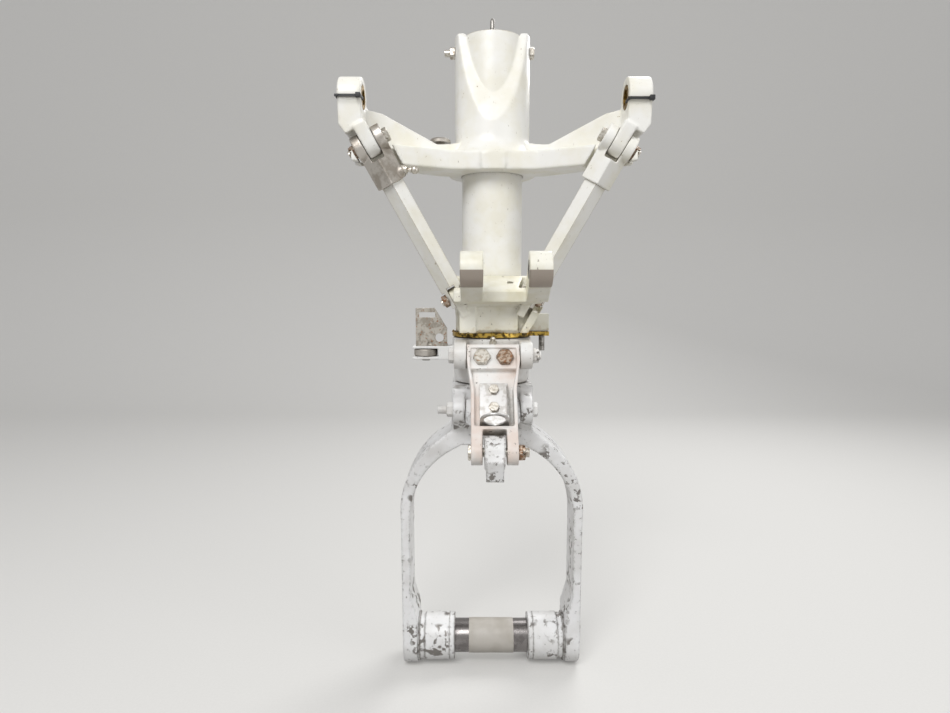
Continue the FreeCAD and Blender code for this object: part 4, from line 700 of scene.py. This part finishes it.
# %% [markdown]
# A pin's lower half mirrors its upper half, so only the upper half is given. Its points lie
# across the nut at shares of the nut's half-width, and along the bolt at heights over the hole.
# The two legs lie just over half a wire from the middle each, so that they never coincide.

# %% A split pin
PIN_WIRE = 1.2 * MM
HOLE_SHARE = 0.22
LEG_TIP = (-0.9, 4.5 * MM)
LEG_BEND = (-1.02, 1.5 * MM)
LEG_INSIDE = ((-0.8, 0.55 * PIN_WIRE), (0.9, 0.55 * PIN_WIRE))
EYE_SIDE = (1.15, 1.8 * MM)
EYE_END = 1.4


def split_pin(name, nut, bolt, body, across):
    """A split pin through a castle nut, with its eye on the side that across points to."""
    hub = middle(nut)
    along = (hub - middle(bolt)).normalized()
    side = (across - along * across.dot(along)).normalized()
    reach = max(Vector(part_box(nut)[1]) - Vector(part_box(nut)[0])) * 0.5
    hole = hub + along * reach * HOLE_SHARE
    upper = [hole + side * (reach * share) + along * rise
             for share, rise in (LEG_TIP, LEG_BEND, *LEG_INSIDE, EYE_SIDE)]
    lower = [point - along * 2 * along.dot(point - hole) for point in reversed(upper)]
    run = upper + [hole + side * (reach * EYE_END)] + lower
    return piece(name, wire(name, run, PIN_WIRE), body, "cadmium_plate")


# %% The four split pins
UP = Vector((0, 0, 1))
FORWARD = Vector((0, -1, 0))
PINS = {
    "split_pin_apex": ("apex_nut", "apex_bolt", "upper_link", FORWARD + UP * 0.4),
    "split_pin_upper_pivot": ("upper_pivot_nut", "upper_pivot_bolt", "steering", FORWARD),
    "split_pin_brace_left": ("brace_nut_left", "brace_bolt_left", "housing", FORWARD),
    "split_pin_brace_right": ("brace_nut_right", "brace_bolt_right", "housing", FORWARD),
}
for name, (nut, bolt, body, across) in PINS.items():
    pin = split_pin(name, nut, bolt, body, across)
    print(name, "faces:", len(pin.data.polygons))


# %% [markdown]
# ## Threads on the bolt ends
# A bolt end that stands out of its nut shows its thread. At this size a stack of thin rings looks
# much like a helix and is simpler to make. Rings that repeat at a fixed pitch are what Geometry
# Nodes do well: a line of points, one ring on each, and the sizes as named inputs.

# %% Inputs and the end of a tree
def inputs(tree, wanted):
    """Adds named inputs to a Geometry Nodes tree, and returns its input node's outputs."""
    for name, kind in wanted:
        tree.interface.new_socket(name, in_out="INPUT", socket_type=kind)
    tree.interface.new_socket("Geometry", in_out="OUTPUT", socket_type="NodeSocketGeometry")
    return add(tree, "NodeGroupInput").outputs


def scatter(tree, points, shape, finish_socket, **more):
    """Ends a tree: a copy of a shape on each point, made real and given its material."""
    copies = add(tree, "GeometryNodeInstanceOnPoints",
                 {"Points": points, "Instance": shape.outputs["Mesh"], **more})
    real = add(tree, "GeometryNodeRealizeInstances", {"Geometry": copies.outputs["Instances"]})
    coloured = add(tree, "GeometryNodeSetMaterial",
                   {"Geometry": real.outputs["Geometry"], "Material": finish_socket})
    add(tree, "NodeGroupOutput", {"Geometry": coloured.outputs["Geometry"]})


# %% The thread tree
CREST_SHARE = 0.36

threads = bpy.data.node_groups.new("thread_rings", "GeometryNodeTree")
given = inputs(threads, (("Turns", "NodeSocketInt"), ("Pitch", "NodeSocketFloat"),
                         ("Radius", "NodeSocketFloat"), ("Finish", "NodeSocketMaterial")))
step = add(threads, "ShaderNodeCombineXYZ", {"Z": given["Pitch"]})
line = add(threads, "GeometryNodeMeshLine", {"Count": given["Turns"], "Offset": step.outputs[0]})
crest = add(threads, "ShaderNodeMath", {0: given["Pitch"], 1: CREST_SHARE}, operation="MULTIPLY")
rim = add(threads, "GeometryNodeCurvePrimitiveCircle",
          {"Resolution": 28, "Radius": given["Radius"]})
section = add(threads, "GeometryNodeCurvePrimitiveCircle",
              {"Resolution": 4, "Radius": crest.outputs[0]})
ring = add(threads, "GeometryNodeCurveToMesh",
           {"Curve": rim.outputs["Curve"], "Profile Curve": section.outputs["Curve"]})
scatter(threads, line.outputs["Mesh"], ring, given["Finish"])
print("thread tree nodes:", len(threads.nodes))


# %% [markdown]
# A modifier's inputs are known inside Blender by an identifier, not by the name on the socket.
# The next function looks the identifier up, so that the call can use the names.

# %% Run a tree
def grown(name, tree, values):
    """The plain mesh that a Geometry Nodes tree makes with those named values."""
    holder = bpy.data.objects.new(name, bpy.data.meshes.new(name))
    modifier = holder.modifiers.new("grow", "NODES")
    modifier.node_group = tree
    for socket in tree.interface.items_tree:
        if socket.in_out == "INPUT":
            modifier[socket.identifier] = values[socket.name]
    return plain_mesh(holder)


# %% The threads
PITCH = 1.3 * MM
BOLT_DIAMETER = 9.5 * MM
GROOVE_SHARE = 0.2


def threaded(name, bolt, nut, body, material):
    """Thread rings on the part of a bolt that stands out of its nut."""
    along = (middle(nut) - middle(bolt)).normalized()
    nut_box, bolt_box = ([Vector(c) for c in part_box(part)] for part in (nut, bolt))
    far = max if along.x > 0 else min
    first = Vector((far(c.x for c in nut_box), middle(nut).y, middle(nut).z))
    last = far(c.x for c in bolt_box)
    turns = max(1, int(abs(last - first.x) / PITCH))
    mesh = grown(name, threads, {"Turns": turns, "Pitch": PITCH,
                                 "Radius": BOLT_DIAMETER / 2 - PITCH * GROOVE_SHARE,
                                 "Finish": finish[material]})
    turn = UP.rotation_difference(along).to_matrix().to_4x4()
    mesh.transform(Matrix.Translation(first + along * PITCH * 0.5) @ turn)
    return piece(name, mesh, body, material)


for name, bolt, nut, body, material in (
        ("thread_apex", "apex_bolt", "apex_nut", "upper_link", "rusted_plate"),
        ("thread_lower_pivot", "lower_pivot_bolt", "lower_pivot_nut", "fork", "white_enamel"),
        ("thread_upper_pivot", "upper_pivot_bolt", "upper_pivot_nut", "steering",
         "white_enamel")):
    made_thread = threaded(name, bolt, nut, body, material)
    print(name, "faces:", len(made_thread.data.polygons))


# %% [markdown]
# ## Grease round the stop ring
# The steering collar turns against the stop ring in grease, and what is pressed out dries in
# beads on the ring's edge. The beads follow a circle and differ only in size and place, so a tree
# scatters small flattened balls on a circle, with a fixed seed so that every run is the same.

# %% The grease tree
BEAD_STRAY = (1.6 * MM, 1.6 * MM, 1.2 * MM)
BEAD_SMALLEST = (0.5, 0.5, 0.3)
BEAD_LARGEST = (1.7, 1.7, 0.9)

beads = bpy.data.node_groups.new("grease_beads", "GeometryNodeTree")
given = inputs(beads, (("Count", "NodeSocketInt"), ("Radius", "NodeSocketFloat"),
                       ("Bead", "NodeSocketFloat"), ("Seed", "NodeSocketInt"),
                       ("Finish", "NodeSocketMaterial")))
circle = add(beads, "GeometryNodeMeshCircle",
             {"Vertices": given["Count"], "Radius": given["Radius"]})
stray = add(beads, "FunctionNodeRandomValue",
            {0: [-reach for reach in BEAD_STRAY], 1: BEAD_STRAY, "Seed": given["Seed"]},
            data_type="FLOAT_VECTOR")
spread = add(beads, "GeometryNodeSetPosition",
             {"Geometry": circle.outputs["Mesh"], "Offset": stray.outputs[0]})
ball = add(beads, "GeometryNodeMeshIcoSphere", {"Radius": given["Bead"], "Subdivisions": 2})
sizes = add(beads, "FunctionNodeRandomValue",
            {0: BEAD_SMALLEST, 1: BEAD_LARGEST, "Seed": given["Seed"]},
            data_type="FLOAT_VECTOR")
scatter(beads, spread.outputs["Geometry"], ball, given["Finish"], Scale=sizes.outputs[0])
print("grease tree nodes:", len(beads.nodes))

# %% The grease
BEAD_COUNT = 150
BEAD_RADIUS = 0.9 * MM
BEAD_INSET = 1.2 * MM

ring_low, ring_high = (Vector(c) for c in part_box("stop_ring"))
ring_radius = (ring_high.y - ring_low.y) / 2
mesh = grown("ring_grease", beads, {"Count": BEAD_COUNT, "Radius": ring_radius - BEAD_INSET,
                                    "Bead": BEAD_RADIUS, "Seed": 7,
                                    "Finish": finish["amber_grease"]})
mesh.transform(Matrix.Translation((0, (ring_high.y + ring_low.y) / 2, ring_high.z)))
grease = piece("ring_grease", mesh, "housing", "amber_grease")
print("grease beads' faces:", len(grease.data.polygons))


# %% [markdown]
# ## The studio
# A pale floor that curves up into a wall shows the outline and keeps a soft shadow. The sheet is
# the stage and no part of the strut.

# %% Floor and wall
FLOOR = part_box("fork")[0][2] - 0.5 * MM
FRONT = -3.4
WALL = 2.6
TOP = 3.2
BEND = 0.9
PAPER_STEPS = 16
HALF_WIDTH = 4.5


def sweep_of_paper():
    """A floor that curves up into a wall, as one sheet."""
    side = [(FRONT, FLOOR)]
    for i in range(PAPER_STEPS + 1):
        angle = math.pi / 2 * i / PAPER_STEPS
        side.append((WALL - BEND + BEND * math.sin(angle), FLOOR + BEND - BEND * math.cos(angle)))
    side.append((WALL, TOP))
    sheet = bmesh.new()
    rows = [[sheet.verts.new((x, y, z)) for y, z in side] for x in (-HALF_WIDTH, HALF_WIDTH)]
    for i in range(len(side) - 1):
        sheet.faces.new((rows[0][i], rows[1][i], rows[1][i + 1], rows[0][i + 1]))
    data = bpy.data.meshes.new("paper_sweep")
    sheet.to_mesh(data)
    sheet.free()
    data.shade_smooth()
    made_paper = bpy.data.objects.new("paper_sweep", data)
    bpy.context.scene.collection.objects.link(made_paper)
    return made_paper


paper = sweep_of_paper()
print("floor at", round(FLOOR, 4), "paper points:", len(paper.data.vertices))


# %% [markdown]
# ## Paper that is pale to look at
# A white room that is bright all round would fill the shaded sides of a white strut and flatten
# it. The Light Path node tells rays apart: to the camera, and in reflections, the paper is pale
# and glows a little, and to bounced light it is a darker grey. The metals then mirror a pale room
# while the paint keeps its shading.

# %% The paper
PAPER_BOUNCE = "9a9894"
PAPER_GLOW = 0.2


def seen(tree):
    """1 for what is looked at, straight or in a reflection, and 0 for bounced light."""
    rays = add(tree, "ShaderNodeLightPath")
    return either(tree, rays.outputs["Is Camera Ray"], rays.outputs["Is Glossy Ray"])


made, tree, shader, place = start("backdrop_paper")
fibres = add(tree, "ShaderNodeTexNoise", {"Vector": place, "Scale": per(3), "Detail": 3.0})
pale = over(tree, fibres.outputs["Fac"], "cac9c6", "d1d0cd")
looked_at = seen(tree)
tree.links.new(over(tree, looked_at, PAPER_BOUNCE, pale), shader.inputs["Base Color"])
shader.inputs["Roughness"].default_value = 0.85
shader.inputs["Emission Color"].default_value = linear("e6e5e2")
glow = add(tree, "ShaderNodeMath", {0: looked_at, 1: PAPER_GLOW}, operation="MULTIPLY")
tree.links.new(glow.outputs[0], shader.inputs["Emission Strength"])
paper.data.materials.append(made)
print("paper nodes:", len(tree.nodes))


# %% [markdown]
# ## Lamps, world and camera
# One broad lamp above the camera models the round shapes, a weaker one fills the other side, and
# one behind rims the outline. The camera doesn't see the lamps, so they don't show as squares in
# views from other sides. The world adds the rest, and like the paper it is paler to look at than
# it is bright. A lens of 24 mm close by, tilted down a few degrees, gives the strut the strong
# perspective of a thing seen from an arm's length.

# %% Lamps
AIM = Vector((0, 0.05, -0.28))


def lamp(name, at, size, watts):
    """A soft square lamp that points at the strut."""
    data = bpy.data.lights.new(name, "AREA")
    data.size = size
    data.energy = watts
    made_lamp = bpy.data.objects.new(name, data)
    made_lamp.location = at
    made_lamp.visible_camera = False
    made_lamp.rotation_euler = (AIM - Vector(at)).to_track_quat("-Z", "Y").to_euler()
    bpy.context.scene.collection.objects.link(made_lamp)


lamp("key", (-0.45, -1.35, 1.0), 0.9, 21)
lamp("fill", (1.4, -1.1, 0.1), 1.2, 6)
lamp("back", (0.7, 1.2, 0.9), 1.0, 16)

# %% World
WORLD_LIGHT = 0.5
WORLD_SEEN = 0.95

world = bpy.data.worlds.new("studio")
bpy.context.scene.world = world
world.use_nodes = True
tree = world.node_tree
looked_at = seen(tree)
sky = tree.nodes["Background"]
tree.links.new(over(tree, looked_at, "f2f2f4", "d9d8d6"), sky.inputs["Color"])
level = add(tree, "ShaderNodeMapRange",
            {"Value": looked_at, "To Min": WORLD_LIGHT, "To Max": WORLD_SEEN})
tree.links.new(level.outputs[0], sky.inputs["Strength"])
print("world nodes:", len(tree.nodes))

# %% Camera
TILT_DOWN = 5.7

camera_data = bpy.data.cameras.new("camera")
camera_data.lens = 24.25
camera_data.sensor_width = 36
camera_data.clip_start = 0.01
camera = bpy.data.objects.new("camera", camera_data)
camera.location = (-0.020, -0.683, -0.200)
camera.rotation_euler = (math.radians(90 - TILT_DOWN), 0, 0)
bpy.context.scene.collection.objects.link(camera)
bpy.context.scene.camera = camera
bpy.context.scene.view_settings.view_transform = "Standard"
print("camera at", tuple(round(v, 3) for v in camera.location))
